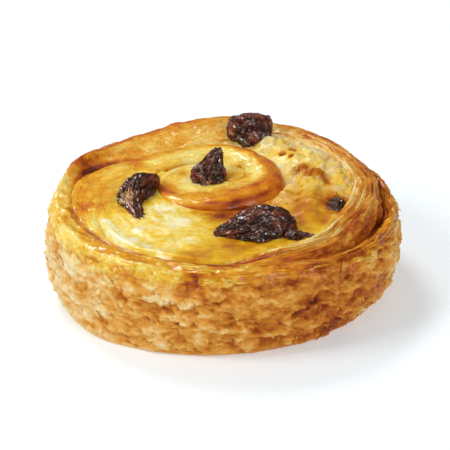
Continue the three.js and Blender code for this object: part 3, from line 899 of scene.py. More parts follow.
def finish_dough(tree, shader):
    """Colour, gloss and fine bumps of the crust."""
    place, where = painted(tree, "place_along", "Vector"), term(tree, "ShaderNodeTexCoord", out="Object")
    brown, raised, glazed, layered = (painted(tree, n) for n in ("brown", "raised", "glazed", "layered"))
    # Raised_Effect paints raised plates and flakes paler and their hollows browner, partly as painted
    # shade.
    patched = use(uneven_browning, Brown=brown, Raised=raised, Place=place, Raised_Effect=-0.5,
                  Patch_Size=0.0055, Patch_Strength=0.3, Speckle_Strength=0.13)
    blots = noise_at(where * (170, 260, 200), 1, 4, 0.6, 2.2, seed=3)
    streaks = noise_at(place * (130, 400, 1), 1, 4, 0.62, 1.8, seed=3)
    streaks = (streaks - 0.5) * 0.24 + (blots - 0.5) * 0.5
    lines = layer_lines(place, layered)
    level = within_one(patched + (streaks + lines))
    flakes = noise_at(place * (420, 900, 1), 1, 5, 0.62, 0.8, seed=9) * (1 - glazed * 0.65)
    drops = noise_at(place, 420, 1.5, 0.5, 0.8, seed=21) * (remap(glazed, 0.9, 1) * 0.7 + 0.3)
    fine = bump(drops, 0.0012, 1, Normal=bump(flakes, 0.0006, 0.7))
    feed(shader, {
        "Base Color": use(crust_tone, Brown=level, Glazed=glazed),
        "Roughness": remap(glazed, 0, 1, 0.62, 0.4, "LINEAR"),
        "Coat Weight": use(egg_wash, Glazed=glazed, Place=place, Brush_Width=0.0035),
        "Normal": bump(streaks * 2.5 + lines * -2, 0.0005, 0.8, Normal=fine)})


finish_dough(tree, shader)
print("dough finish:", len(tree.nodes), "nodes")

# %% [markdown]
# ## The baked strip
#
# Now the painted rings become a mesh and go through the relief tree. Blisters stand out fully on
# the wall and only a little on the glazed top, and layers show on the inner lips and on the flap
# of dough at the right, where the knife opened them. At the left a puddle of syrup ran over the
# shoulder, and there the dough is wettest and smoothest.

# %% From grid to mesh, and through a tree
def in_frame(places):
    """Places in millimetres, carried to the metres and the middle of the shared frame."""
    return (places - [*PLAN_MIDDLE, 0]) * MM


def grid_points(grid):
    """A grid's values in one row, followed by the means of its first and its last ring."""
    return np.concatenate([grid.reshape(-1, *grid.shape[2:]), grid[[0, -1]].mean(1)])


def paint(mesh, **layers):
    """Stores numbers or vectors on a mesh's points, for trees and finishes to read."""
    for name, values in layers.items():
        kind, field = ("FLOAT", "value") if values.ndim == 1 else ("FLOAT_VECTOR", "vector")
        mesh.attributes.new(name, kind, "POINT").data.foreach_set(field, values.ravel())


def grid_mesh(name, rings, **layers):
    """A closed tube from rings of points in millimetres, with a fan over each end."""
    count, across = rings.shape[:2]
    j = np.arange(across)
    ring, beside = (np.arange(count)[:, None] * across + k for k in (j, (j + 1) % across))
    quads = np.stack([ring[:-1], beside[:-1], beside[1:], ring[1:]], -1).reshape(-1, 4)
    middle = np.full(across, count * across)
    first_fan = np.stack([beside[0], ring[0], middle], -1)
    last_fan = np.stack([ring[-1], beside[-1], middle + 1], -1)
    mesh = bpy.data.meshes.new(name)
    faces = quads.tolist() + first_fan.tolist() + last_fan.tolist()
    mesh.from_pydata(in_frame(grid_points(rings)).tolist(), [], faces)
    paint(mesh, **{layer: grid_points(values) for layer, values in layers.items()})
    mesh.shade_smooth()
    mesh.update()
    return mesh


def apply_tree(piece, tree, **sizes):
    """Runs a tree on a piece with named inputs, and keeps the result as a plain mesh."""
    modifier = piece.modifiers.new(tree.name, "NODES")
    modifier.node_group = tree
    for item in tree.interface.items_tree:
        label = item.name.replace(" ", "_")
        if item.in_out == "INPUT" and label in sizes:
            modifier[item.identifier] = sizes[label]
    graph = bpy.context.evaluated_depsgraph_get()
    made = bpy.data.meshes.new_from_object(piece.evaluated_get(graph))
    piece.modifiers.remove(modifier)
    piece.data = made
    return piece


# %% Masks, then the finished strip
LAYERED = [
    [-430, 0.08], [150, 0.1], [260, 0.2], [282, 0.9], [330, 1], [420, 0.9], [450, 0.4],
    [480, 0.16], [560, 0.16], [600, 0.3], [622, 0.9], [655, 1], [700, 1], [756, 1]]
GLAZED = [
    [-430, 0.7], [-60, 0.7], [100, 0.8], [190, 0.75], [270, 0.85], [300, 0.45], [420, 0.35],
    [470, 0.5], [540, 0.6], [580, 0.9], [610, 0.8], [640, 0.6], [665, 0.5], [690, 0.6], [756, 0.6]]
SHOULDER_BLISTERS = [
    [-430, 0.22], [100, 0.2], [440, 0.15], [470, 0.25], [530, 0.3], [545, 0.5], [600, 0.5],
    [630, 0.35], [756, 0.4]]
PUDDLE = [(-38.5, -24, 24.5), (-34.5, -28.5, 24.3), (-29.5, -33.5, 24.3), (-24, -38, 24.3)]
PUDDLE_REACH = 4.5

cut = (1 - ease(side_share, 0.1, 0.8)) * (0.35 + 0.65 * ease(top_share, -0.5, 0.1))
past_shoulder, puddle = ease(side_share, 0.1, 0.6), near_line(rings, PUDDLE, PUDDLE_REACH)
wall_share = np.maximum(on_wall, 0.7 * ease(turns, 285, 320)[:, None]) * past_shoulder
blistered = mix(column(SHOULDER_BLISTERS, turns), 1, wall_share) * (1 - ease(side_share, 2.2, 2.9))
blistered = blistered * ease(rings[..., 2], 0.1, 2.0) * (1 - 0.2 * puddle)
matt = (0.85 - 0.45 * ease(turns, 670, 700)[:, None]) * wall_share * ease(side_share, 0.1, 1.0)
glazed = np.maximum(column(GLAZED, turns) * (1 - matt), puddle)
dough = new_object("swirl_dough", grid_mesh(
    "swirl_dough", rings, place_along=place_along * MM, brown=browning,
    layered=column(LAYERED, turns) * cut, blistered=blistered, glazed=glazed))
apply_tree(dough, crust_relief, Finish=baked_dough)
print("dough:", len(dough.data.polygons), "faces, materials", [m.name for m in dough.data.materials])

# %% [markdown]
# ## The custard
#
# Custard is the filling between the turns. It is one ribbon that reaches down to the base, thin
# at the back and wide at the front and right. On top it slumps into a shiny pool at the left,
# where it also flowed over the lip of the last turn as a thin film. At the right it has puffed up
# into browned mounds, with a few burst bubbles. The mounds are drawn one by one, as no noise
# would put them in the right place, and the section of the ribbon grows the film where the
# table of the overflow asks for it.

# %% Build the ribbon of custard
CUSTARD_INNER_Z = [
    [-60, 25.2], [60, 25.6], [140, 25.2], [180, 24.8], [200, 24.6], [230, 24.3], [262, 24],
    [300, 24], [330, 24.6], [360, 24.9], [400, 25.2], [440, 25.6], [470, 25.6], [494, 24.9],
    [512, 23.8], [528, 24.4], [540, 24.3], [590, 24.5], [650, 24.7]]
CUSTARD_OUTER_Z = [
    [-60, 25.2], [60, 25.6], [140, 25.2], [180, 24.8], [205, 24.7], [250, 24.5], [275, 24.9],
    [290, 25.2], [330, 25.9], [385, 26], [425, 25.9], [450, 25.7], [470, 25.6], [494, 24.9],
    [512, 23.8], [528, 24.4], [540, 24.3], [590, 24.5], [650, 24.7]]
CUSTARD_RISE = [[150, 0], [190, 0.3], [290, 0.5], [330, 1.2], [365, 1.8], [425, 1.4], [450, 0]]
CUSTARD_MOUNDS = [  # x, y, reach, height
    [22.4, 11, 4.4, 2.6], [26, 7.6, 3.6, 2.2], [23, 4, 4, 1.5], [17.2, -1.4, 3, 1.6],
    [24.4, -3, 5, 1.4], [24.4, -9, 6, 1.8], [22.4, -16, 6.4, 1.5], [33, 8, 4, 0.9], [20, 20, 4, 0.7],
    [14, 31, 4, 0.6], [28, 19, 4, 0.6], [31.8, -7.4, 4, -2.4]]
BURST_BUBBLES = [  # x, y, reach, depth
    [17.2, 22.8, 0.8, 2.2], [20.1, 24.6, 0.8, 2.2], [19.8, 20.6, 0.8, 2],
    [22.8, 24.4, 0.5, 0.8], [14.9, 23, 0.5, 0.8], [36.8, 6.7, 0.7, 0.6], [21.3, -2.3, 0.7, 0.7]]
CONTACT = [  # how far its edges reach into the dough
    [143, 1.6], [190, 1.6], [215, 0.8], [240, 0.5], [528, 0.5], [542, 0.7], [600, 0.7], [652, 0.7]]
FILM, FILM_TUCK, FILM_MARGIN, CUSTARD_BASE = 0.45, 1.2, 0.6, 0.3
CUSTARD_LINES = {
    "edge of the pool": (1.7, 0.3, 0.2, POOL_EDGE),
    "cream streak": (1.5, -0.14, -0.3, [(-33.1, -15.3, 24.6), (-30, -22, 24.6), (-25.2, -28.1, 24.6)]),
    "cream streak, short": (1.0, -0.2, -0.25, [(-23.5, -20.7, 24.5), (-18.5, -26, 24.4)]),
    "caramel under the coil": (2.4, 0.4, 0, [(-7, -9.5, 23.6), (0, -10, 23.6), (7, -8, 23.6)]),
    "flow down the dome": (1.1, 0.12, 0.3, [(21, 0, 26), (20, -10, 26), (21, -20, 26)]),
    "second flow": (1, 0.1, 0.25, [(26.6, 0, 27), (27, -8, 27), (25.6, -16, 26.5)]),
    # A painted shadow: a dark line down the right side of the dome, beside the crease it presses in.
    "painted shadow right of the dome": (1.6, 0.22, 0.9, [
        (29.6, 4.5, 26.5), (29.6, -3.5, 26.5), (29, -13.7, 26), (27, -20, 25.5)]),
    "shade by the sunk raisin": (2.2, 0.34, 0.2, [
        (31.3, -3.6, 26), (32.1, -8.3, 25.5), (31.4, -12.3, 25.3)]),
    "fold beside the mounds": (1, 0.12, 0.5, [(19, 8, 26.6), (20.5, 3, 26.6), (20, -3, 26.4)]),
}


def custard_lines(turn):
    """Each section as dense points [radius, height, relief, share of the top]."""
    contact, over = column(CONTACT, turn), column(OVERFLOW, turn)
    spilt = ease(over, 0, 0.3)
    inner, outer = radius_beneath(turn)[:, None] - contact, inner_radius(turn)[:, None] + contact
    inner_z, outer_z = column(CUSTARD_INNER_Z, turn), column(CUSTARD_OUTER_Z, turn)
    lip_z, crest_z = column(LIP_Z, turn), column(CREST_Z, turn)
    up, share, spill = np.linspace(0, 1, 12)[None, :-1], np.linspace(0, 1, 90)[None, :], steps_to(1, 40)
    rise = 4 * share * (1 - share)
    height = mix(inner_z, outer_z, share) + rise * column(CUSTARD_RISE, turn)
    rise = np.where(share > 0.5, mix(rise, 1, over), rise)
    uneven_edge = 0.88 + 0.12 * lattice_noise(strand(turn / 9, 0, 0.5))[:, None]
    width = np.maximum(outer_radius(turn)[:, None] - outer - FILM_MARGIN, 0) * over * uneven_edge
    strip_z = mix(lip_z, crest_z, ease(spill, 0, 1))
    film = mix(outer_z, strip_z + FILM * over, ease(spill, 0, 0.3))
    film = mix(outer_z, film - (FILM + FILM_TUCK) * over * ease(spill, 0.7, 1), spilt)
    beneath = mix(outer_z, np.minimum(strip_z, lip_z) - 0.6, spilt)
    return np.concatenate([
        strand(inner, mix(CUSTARD_BASE, inner_z, up), 0, 0),
        strand(mix(inner, outer, share), height, rise, share),
        strand(outer + width * spill, film, over * (1 - spill), 1 + spill * over),
        strand(outer + width * spill[:, ::-1], beneath[:, ::-1], 0, 1),
        strand(outer, mix(CUSTARD_BASE, outer_z - 0.7 * spilt, up[:, ::-1]), 0, 1)], 1)


def custard_relief(place, up):
    """Gentle crags, the mounds, the holes of burst bubbles with their rims, and the creases."""
    total = crags(TOP_CRAGS, place)
    for x, y, reach, high in CUSTARD_MOUNDS:
        away = np.hypot(place[..., 0] - x, place[..., 1] - y) / reach
        total = total + high * (1 - ease(away, 0, 1))
    for x, y, reach, deep in BURST_BUBBLES:
        away = np.hypot(place[..., 0] - x, place[..., 1] - y) / reach
        total = total - deep * np.exp(-away ** 2) + 0.18 * deep * np.exp(-((away - 1.7) / 0.5) ** 2)
    return total - line_sum(CUSTARD_LINES, place, DEEPER)


CUSTARD_POINTS, CUSTARD_SPACING = 84, 0.55
custard_turns = even_turns(CUSTARD_SPAN, CUSTARD_SPACING)
ribbon = custard_lines(custard_turns)
ribbon = spread_points(ribbon, 0.05 + ease(ribbon[..., 1], 19, 21), CUSTARD_POINTS)
custard_rings = place_section(custard_turns, ribbon, custard_relief)
print("custard sections:", custard_rings.shape[:2])

# %% Browning, lumps and wetness of the custard
CUSTARD_SPOTS = {
    "browned mound": (22.7, 10.8, 28.6, 2.4, 0.62),
    "second browned mound": (25.8, 7.4, 28.6, 2.0, 0.56),
    "third browned mound": (28.4, 6, 28, 1.6, 0.4),
    "browned mound, front": (23, 6, 28, 2.4, 0.3),
    "mound beside the coil": (17.4, -1.4, 27, 2.2, 0.3),
    "speck on the dome": (21.3, -2.3, 27.2, 0.8, 0.4),
    "second speck on the dome": (20.6, -7.5, 27, 0.7, 0.35),
    "golden dome": (24, -9, 27, 8, 0.27),
    "golden dome, front": (22, -18, 26, 6, 0.2),
    "crumbly custard": (17, 26, 26, 8, 0.1),
    "crumbly custard, right": (30, 17, 26, 7, 0.08),
    "pale custard at the rim": (27, 24, 26, 3, -0.12),
    "pale custard by the back raisin": (13, 28, 26, 2.6, -0.12),
    "pale custard beside the mounds": (31, 9, 26, 2.6, -0.03),
    "toffee by the front raisin": (-1, -12, 23.5, 4.4, 0.5),
    "toffee under the coil": (8, -6, 23.5, 5, 0.65),
    "toffee in front": (3, -31, 24, 6, 0.26),
    "toffee in front, left": (-8, -36, 24, 5, 0.3),
    # Painted shade around the dent where the raisin sank.
    "painted shade around the sunk raisin": (31.8, -7.4, 25.6, 3.2, 0.44),
    "red spot": (36.8, 6.7, 26.5, 0.9, 0.8),
    "custard by the right rim": (33.4, 4, 26.8, 5, 0.1),
    "burst bubble": (17.2, 22.8, 26.5, 1.15, 1.0),
    "second burst bubble": (20.1, 24.6, 26.5, 1.1, 1.0),
    "third burst bubble": (19.8, 20.6, 26.5, 1.15, 1.0),
    "patch behind the mounds": (18, 31, 26, 2, 0.22),
    "pool by the left raisin": (-27, -9, 25, 4, 0.2),
    "left end of the pool": (-36, -6, 25, 6, 0.3),
    "bright pool": (-18, -7.6, 24.4, 2.6, -0.2),
    "bright pool, right": (-12.4, -16.4, 24.2, 3, -0.16),
    "yellow pool": (-14, -22, 24, 6, 0.06),
}
CUSTARD_BROWN = [
    [143, 0.3], [190, 0.26], [215, 0.18], [250, 0.2], [275, 0.36], [320, 0.34], [380, 0.22],
    [420, 0.12], [450, 0.26], [470, 0.3], [494, 0.36], [505, 0.6], [522, 0.6], [534, 0.42],
    [556, 0.4], [572, 0.5], [652, 0.62]]
LUMPY_TURNS = (318, 350, 440, 470)  # where the lumps set in, are full, fade and end
SMOOTH_DOME = ([(23, -16, 26), (25, -5, 26.5)], 7)  # lines, and how far they reach
DULL_DOME = ([(22, -16, 26), (24, -5, 26.5)], 6)
BUBBLES = ([(17, 21, 27.3), (20.5, 21, 27.3)], 3.2)

# browned also holds the painted shade and shadow of some custard spots and lines.
browned = column(CUSTARD_BROWN, custard_turns) + spot_sum(CUSTARD_SPOTS, custard_rings)
browned = browned + line_sum(CUSTARD_LINES, custard_rings, BROWNER)
lumpy = ease(custard_turns, *LUMPY_TURNS[:2]) * (1 - ease(custard_turns, *LUMPY_TURNS[2:]))
lumpy = lumpy[:, None] * (1 - 0.7 * near_line(custard_rings, *SMOOTH_DOME))
lumpy = lumpy * (1 - 0.75 * near_line(custard_rings, *BUBBLES))
wet = 0.85 - 0.5 * lumpy - 0.4 * near_line(custard_rings, *DULL_DOME)
from_middle = np.hypot(custard_rings[..., 0], custard_rings[..., 1])
custard_place = strand(lengths_along(custard_rings), from_middle, 0)
print("custard browning", np.round(browned.min(), 2), "to", np.round(browned.max(), 2))


# %% Geometry Nodes: custard skin
def custard_tree(entry):
    """Curds and lumps where the mask is lumpy, and slow ripples, on the top only."""
    skin, seed = entry["Geometry"], entry["Seed"]
    place = term(skin.tree, "GeometryNodeInputPosition")
    lumpy, top = attribute(skin, "lumpy"), attribute(skin, "flat_top")
    curd = remap(noise_at(place, 1 / entry["Curd Size"], 3, 0.55, 0.4, seed), 0.36, 0.66)
    ripple = noise_at(place, 1 / entry["Ripple Size"], 2, 0.5, 0.2, seed)
    lump = remap(noise_at(place, 1 / entry["Lump Size"], 1, 0.5, 0.8, seed), 0.34, 0.66)
    lift = (curd - 0.5) * entry["Curd Height"] * lumpy + (ripple - 0.5) * entry["Ripple Height"]
    lift = (lift + (lump - 0.5) * entry["Lump Height"] * lumpy) * remap(top, 0, 0.3)
    return ended(push_out(store(skin, "raised", curd), lift), entry["Finish"])


custard_skin = new_group("custard_skin", {
    "Geometry": "Geometry", "Curd Size": 0.0022, "Curd Height": 0.0007, "Ripple Size": 0.006,
    "Ripple Height": 0.0004, "Lump Size": 0.0056, "Lump Height": 0.0012, "Seed": 2.0,
    "Finish": "Material"}, custard_tree)

# %% [markdown]
# ## The finish of the custard
#
# Baked custard is pale yellow and wet in the pool, golden where it rose, and dull, dry and a
# little grey where it is crumbly. One colour ramp holds the browning. Strokes of the glazing
# brush follow the ribbon, so they are drawn on its own lengths, and the dry patches only come
# where the custard is lumpy and pale.

# %% Custard finish
CUSTARD_TONES = [
    (0, (0.95, 0.87, 0.54)), (0.1, (0.91, 0.73, 0.22)), (0.22, (0.86, 0.56, 0.04)),
    (0.4, (0.70, 0.35, 0.008)), (0.6, (0.54, 0.185, 0.006)), (0.8, (0.34, 0.065, 0.005)),
    (1, (0.16, 0.022, 0.004))]
DRY_CUSTARD = (0.62, 0.45, 0.24, 1)
baked_custard, tree, shader = new_finish(
    "baked_custard", Subsurface_Weight=0.2, Subsurface_Radius=(1.0, 0.6, 0.25), Subsurface_Scale=0.002,
    Specular_IOR_Level=0.14, Specular_Tint=(1.0, 0.78, 0.4, 1), Coat_Roughness=0.09, Coat_IOR=1.42)


def finish_custard(tree, shader):
    """Colour, gloss and grain of the custard."""
    along, place = painted(tree, "place_along", "Vector"), term(tree, "ShaderNodeTexCoord", out="Object")
    browned, raised, lumpy, wet = (painted(tree, n) for n in ("browned", "raised", "lumpy", "wet"))
    # Raised_Effect paints raised curds a little paler and the hollows between them browner, partly as
    # painted shade.
    level = use(uneven_browning, Brown=browned, Raised=raised, Place=place, Raised_Effect=-0.14,
                Patch_Size=0.007, Patch_Strength=0.22, Speckle_Strength=0.05, Stretch=1.0, Seed=8.0)
    strokes = noise_at(along * (110, 420, 1), 1, 4, 0.6, 1.6, seed=7)
    level = within_one(level + (strokes - 0.5) * (wet * 0.66))
    dry = remap(noise_at(place, 170, 3, 0.6, 0.8, seed=12), 0.4, 0.6, 0.15, 0.75)
    dry = lumpy * (dry * remap(level, 0.3, 0.6, 1, 0))
    grain = noise_at(place, 900, 4, 0.6, 0.3, seed=2)
    feed(shader, {
        "Base Color": blend_colour(dry, colour_ramp(level, CUSTARD_TONES), DRY_CUSTARD),
        "Roughness": remap(wet, 0.3, 1, 0.6, 0.28, "LINEAR"),
        "Coat Weight": use(egg_wash, Glazed=wet, Place=place, Brush_Width=0.005, Seed=4.0),
        "Normal": bump(grain * (lumpy * 0.8 + 0.2), 0.0004, 0.5)})


finish_custard(tree, shader)
custard = new_object("custard_ribbon", grid_mesh(
    "custard_ribbon", custard_rings, browned=browned, lumpy=lumpy, wet=wet,
    flat_top=ribbon[..., 2], place_along=custard_place * MM))
apply_tree(custard, custard_skin, Finish=baked_custard)
print("custard:", len(custard.data.polygons), "faces")

# %% [markdown]
# ## Raisins
#
# A raisin is a grape that shrank: its skin folded into deep creases along its length and fine
# wrinkles between them. Six sculpted raisins would be six times the work. Here each starts as
# an even ball of triangles, is drawn out to the size and bend of its solid, and is pulled at a
# few places to its own outline. A Geometry Nodes tree then cuts the folds. Every raisin has its
# own seed, so that no two are creased alike. Custard that smeared on one is a mask, for its
# colour only.

# %% Build and crease the raisins
RAISINS = {  # pulls: a place on the skin, how far the pull reaches, and which way it goes
    "raisin_left": dict(
        at=(-24.4, -3, 25.0), size=(21, 9.4, 9.4), heading=264, rise=-14, roll=-10, taper=0.45,
        curve=3.6, seed=3,
        pulls=[(-21, 4, 27, 4.5, 0.6, 0.4, 0), (-26, 4, 28, 3.5, -0.8, 0.8, 0.2),
               (-29, -4, 26, 4, -1.4, 0, 0.3), (-25, -12, 24.6, 3.6, 1.0, -4.6, 0.4),
               (-20, -6, 26, 3, -1.6, 0, 0)],
        smears=[(-26.5, -6, 28.5, 3), (-28, -9, 26.6, 2.4)]),
    "raisin_centre": dict(
        at=(-3.9, 9.8, 28.0), size=(12.4, 9.2, 8), heading=62, rise=30, roll=-14, taper=0.5,
        curve=-1, seed=11,
        pulls=[(0, 7, 27, 3, 1.8, -0.6, 0), (-8, 7, 27, 3, -1, -0.2, 0.2), (-2, 14, 31.5, 3, 0, 0.4, 1.2)],
        smears=[(-4, 4.6, 26.4, 1.5), (-8.4, 6.6, 26.6, 1.2)]),
    "raisin_back": dict(
        at=(7.8, 36.2, 28.0), size=(12.8, 10.6, 10.6), heading=172, rise=-4, roll=12, taper=0.12,
        curve=0.6, seed=23,
        pulls=[(7.4, 31, 26.5, 3, 0, -3, 0), (3, 36, 32, 3, -0.8, 0, 0.7), (13, 36, 32, 3, 0.9, 0, 0.9)],
        smears=[(2, 33, 28.6, 1.2)]),
    "raisin_front": dict(
        at=(8.4, -21.4, 25.4), size=(22.6, 15, 12.6), heading=186, rise=-6, roll=0, taper=0.5,
        curve=1.6, seed=37,
        pulls=[(9, -28, 23.5, 5, 0, -2.4, 0), (6, -18, 31, 5, 0.4, 0, 0.6)],
        smears=[(3, -21, 31, 1.3)]),
    "raisin_front_small": dict(
        at=(20.6, -26.4, 24.8), size=(10, 5.6, 4.8), heading=2, rise=-4, roll=0, taper=0.5,
        curve=0.4, seed=41, pulls=[], smears=[]),
    "raisin_right": dict(
        at=(31.4, -7.6, 24.7), size=(9.8, 6, 5.4), heading=76, rise=4, roll=0, taper=0.2,
        curve=0.6, seed=53, pulls=[], smears=[(31.4, -4, 26.6, 3)]),
}


def turned(points, heading, rise, roll):
    """Rolls, raises and heads points that lie along x."""
    points = points.copy()
    for angle, (a, b) in ((roll, (1, 2)), (rise, (0, 2)), (heading, (0, 1))):
        c, s = math.cos(math.radians(angle)), math.sin(math.radians(angle))
        points[:, [a, b]] = points[:, [a, b]] @ np.array([[c, s], [-s, c]])
    return points


def raisin_mesh(name, row, detail):
    """A ball of triangles, drawn out, bent, put in its place and pulled."""
    ball, mesh = bmesh.new(), bpy.data.meshes.new(name)
    bmesh.ops.create_icosphere(ball, subdivisions=detail, radius=1)
    ball.to_mesh(mesh)
    ball.free()
    points, half = np.array([v.co for v in mesh.vertices]), np.array(row["size"]) / 2
    along, shape = points[:, 0], points * half
    shape[:, 1:] *= (1 - row["taper"] * ease(along, -1, 1.2))[:, None]
    shape[:, 1] += row["curve"] * along ** 2
    place = turned(shape, row["heading"], row["rise"], row["roll"]) + row["at"]
    for x, y, z, reach, *shift in row["pulls"]:
        place = place + near_spot(place, (x, y, z), reach)[:, None] * shift
    mesh.vertices.foreach_set("co", in_frame(place).ravel())
    smears = [near_spot(place, spot, reach) for *spot, reach in row["smears"]]
    paint(mesh, smeared=sum(smears, np.zeros(len(place))), on_ball=points * half * MM)
    mesh.shade_smooth()
    return mesh


def raisin_tree(entry):
    """Deep folds along the raisin, and fine ridges between them."""
    skin, seed = entry["Geometry"], entry["Seed"]
    place = attribute(skin, "on_ball", "FLOAT_VECTOR")
    long = together(1 / entry["Fold Length"], *[1 / entry["Fold Width"]] * 2)
    folds = noise_at(place * long, detail=2, distortion=0.6, seed=seed)
    fine = together(1 / (entry["Wrinkle Width"] * 2.2), *[1 / entry["Wrinkle Width"]] * 2)
    wrinkles = noise_at(place * fine, detail=2, distortion=0.5, seed=seed + 7)
    crease = remap(calc("ABSOLUTE", folds - 0.5), 0, 0.13, 1, 0)
    ridge = remap(calc("ABSOLUTE", wrinkles - 0.5), 0, 0.12, 1, 0)
    lift = (0.45 - crease) * entry["Fold Depth"] + (ridge - 0.3) * entry["Ridge Height"]
    kept = store(store(skin, "creased", crease), "ridged", ridge)
    return ended(push_out(kept, lift), entry["Finish"])


raisin_skin = new_group("raisin_skin", {
    "Geometry": "Geometry", "Fold Length": 0.006, "Fold Width": 0.0036, "Fold Depth": 0.0011,
    "Wrinkle Width": 0.0014, "Ridge Height": 0.00045, "Seed": 1.0, "Finish": "Material"}, raisin_tree)

# %% [markdown]
# ## The finish of the raisins
#
# The skin is deep red brown on the bulges. The creases are painted nearly black as shade, and
# the fine ridges a little lighter as a painted highlight. Syrup lies on the bulges and not in the
# creases, so the clear coat is masked by both, and breaks up into small hard glints. A thin film
# of custard shows where it smeared.

# %% Raisin finish
SKIN_DARK, SKIN_RED = (0.026, 0.005, 0.003, 1), (0.19, 0.032, 0.009, 1)
# Painted shade in the creases and a painted highlight on the fine ridges.
SHADE_IN_CREASES, HIGHLIGHT_ON_RIDGES = (0.012, 0.003, 0.002, 1), (0.42, 0.15, 0.06, 1)
CUSTARD_FILM = (0.58, 0.33, 0.12, 1)
raisin_finish, tree, shader = new_finish(
    "raisin_skin_finish", Subsurface_Weight=0.1, Subsurface_Radius=(1.0, 0.2, 0.08), Subsurface_Scale=0.002,
    Specular_IOR_Level=0.1, Coat_Roughness=0.05, Coat_IOR=1.75)


def finish_raisin(tree, shader):
    """Colour, syrup and grain of a raisin's skin."""
    place = painted(tree, "on_ball", "Vector")
    creased, ridged, smeared = (painted(tree, n) for n in ("creased", "ridged", "smeared"))
    tint = noise_at(place, 260, distortion=0.3, seed=6)
    film = noise_at(place, 900, 3, 0.6, 0.5, seed=5)
    grain = noise_at(place, 380, detail=1, distortion=1.6, seed=2)
    skin = blend_colour(remap(tint, 0.4, 0.66), SKIN_DARK, SKIN_RED)
    # The creases are darkened as painted shade, the ridges lightened as a painted highlight.
    skin = blend_colour(creased * 0.7, skin, SHADE_IN_CREASES)
    skin = blend_colour(remap(ridged, 0.6, 1, 0, 0.2), skin, HIGHLIGHT_ON_RIDGES)
    feed(shader, {
        "Base Color": blend_colour(remap(smeared * 0.36 + film, 0.66, 0.9, 0, 0.8), skin, CUSTARD_FILM),
        "Roughness": remap(tint, 0.35, 0.7, 0.4, 0.55),
        "Coat Weight": remap(creased, 0.3, 0.9, 1, 0.2) * remap(grain, 0.4, 0.52, 0.1, 1),
        "Normal": bump(grain, 0.001, 1)})


finish_raisin(tree, shader)
SMALL_RAISIN = 10
raisins = {}
for name, row in RAISINS.items():
    detail, depth = (5, 0.0003) if row["size"][0] < SMALL_RAISIN else (6, 0.0005)
    piece = new_object("skin_of_" + name, raisin_mesh(name + "_skin", row, detail))
    raisins[name] = apply_tree(
        piece, raisin_skin, Finish=raisin_finish, Seed=float(row["seed"]), Fold_Depth=depth)
print("raisins:", {n: len(o.data.polygons) for n, o in raisins.items()})

# %% [markdown]
# ## Loose flakes and crumbs
#
# Thin sheets of crust come loose as the swirl cools, and bits of set custard break up where it
# puffed. There are too many to place by hand, so one Geometry Nodes tree scatters both: points
# land on a skin where a painted mask allows it, each gets a small angular ball, turned and
# tilted by chance, and noise then frays the bits so that no two are alike. They take the
# browning of the place they lie on.

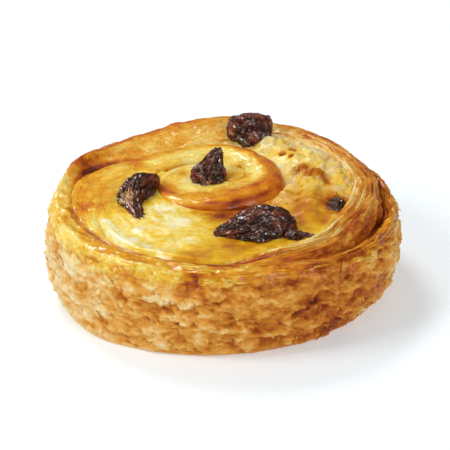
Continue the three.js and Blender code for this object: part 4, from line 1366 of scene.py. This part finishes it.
# %% Geometry Nodes: scattered bits
def bits_tree(entry):
    """Bits on the skin where the mask bits_here allows them, each turned and frayed by chance."""
    skin, seed = entry["Geometry"], entry["Seed"]
    tree = skin.tree
    density = entry["Density"] * attribute(skin, "bits_here")
    where = {"Mesh": skin, "Density": density, "Seed": seed}
    spread = term(tree, "GeometryNodeDistributePointsOnFaces", where)
    ball = term(tree, "GeometryNodeMeshUVSphere", {"Segments": 7, "Rings": 4, "Radius": 0.5})
    size = together(entry["Bit Length"], entry["Bit Width"], entry["Bit Thickness"])
    bit = term(tree, "GeometryNodeTransform", {"Geometry": ball, "Scale": size})
    growth = {"Min": 0.45, "Max": 1.35, "Seed": seed}
    growth = term(tree, "FunctionNodeRandomValue", growth, data_type="FLOAT")
    bits = term(tree, "GeometryNodeInstanceOnPoints", {
        "Points": spread, "Instance": bit, "Rotation": spread.beside("Rotation"), "Scale": growth})
    chance = {"Min": (-1, -1, -1), "Max": (1, 1, 1), "Seed": seed + 1}
    turn = term(tree, "FunctionNodeRandomValue", chance, data_type="FLOAT_VECTOR")
    turn = turn * together(entry["Tilt"], entry["Tilt"], math.pi)
    bits = term(tree, "GeometryNodeRotateInstances", {"Instances": bits, "Rotation": turn})
    real = term(tree, "GeometryNodeRealizeInstances", {"Geometry": bits})
    place = term(tree, "GeometryNodeInputPosition")
    fray = term(tree, "ShaderNodeTexNoise", {"Vector": place, "Scale": 900, "Detail": 1}, out="Color")
    fray = (fray - (0.5, 0.5, 0.5)) * entry["Fray"]
    frayed = term(tree, "GeometryNodeSetPosition", {"Geometry": real, "Offset": fray})
    return ended(frayed, entry["Finish"])


scatter_bits = new_group("scatter_bits", {
    "Geometry": "Geometry", "Density": 60000.0, "Bit Length": 0.0026, "Bit Width": 0.0013,
    "Bit Thickness": 0.00024, "Tilt": 0.35, "Fray": 0.0012, "Seed": 3, "Finish": "Material"}, bits_tree)


def scatter_on(name, skin, mask, **sizes):
    """A piece of loose bits that lie on a finished skin where the mask (0 to 1) allows them."""
    mesh = skin.data.copy()
    paint(mesh, bits_here=grid_points(mask))
    return apply_tree(new_object(name, mesh), scatter_bits, **sizes)


on_rim = ease(rings[..., 2], 17, 22) * ease(turns, 560, 620)[:, None] * ease(side_share, 0.02, 0.3)
on_last_turns = blistered * ease(side_share, 0.3, 0.8) * (turns > 420)[:, None] * 0.55
flake_mask = np.maximum(on_last_turns, on_rim) * ease(rings[..., 2], 1.5, 3)
flakes = scatter_on("loose_flakes", dough, flake_mask, Finish=baked_dough)
crumb_mask = lumpy * ease(ribbon[..., 2], 0.1, 0.4)
crumbs = scatter_on("custard_crumbs", custard, crumb_mask, Finish=baked_custard, Density=25000.0,
                    Bit_Length=0.0016, Bit_Width=0.0013, Bit_Thickness=0.0011, Tilt=1.5, Seed=5)
print("flakes:", len(flakes.data.polygons), "faces; crumbs:", len(crumbs.data.polygons), "faces")

# %% [markdown]
# ## Onto the body
#
# Every piece rides on the one body, and all but the loose bits stand for a solid, which is
# hidden.

# %% Ride and replace
for piece, kind in [(flakes, "dough"), (crumbs, "custard")]:
    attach(piece, "root")

for piece, solid, kind in [(dough, "dough", "dough"), (custard, "custard", "custard"),
                           *[(piece, name, "raisin") for name, piece in raisins.items()]]:
    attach(piece, "root")
    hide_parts(solid)
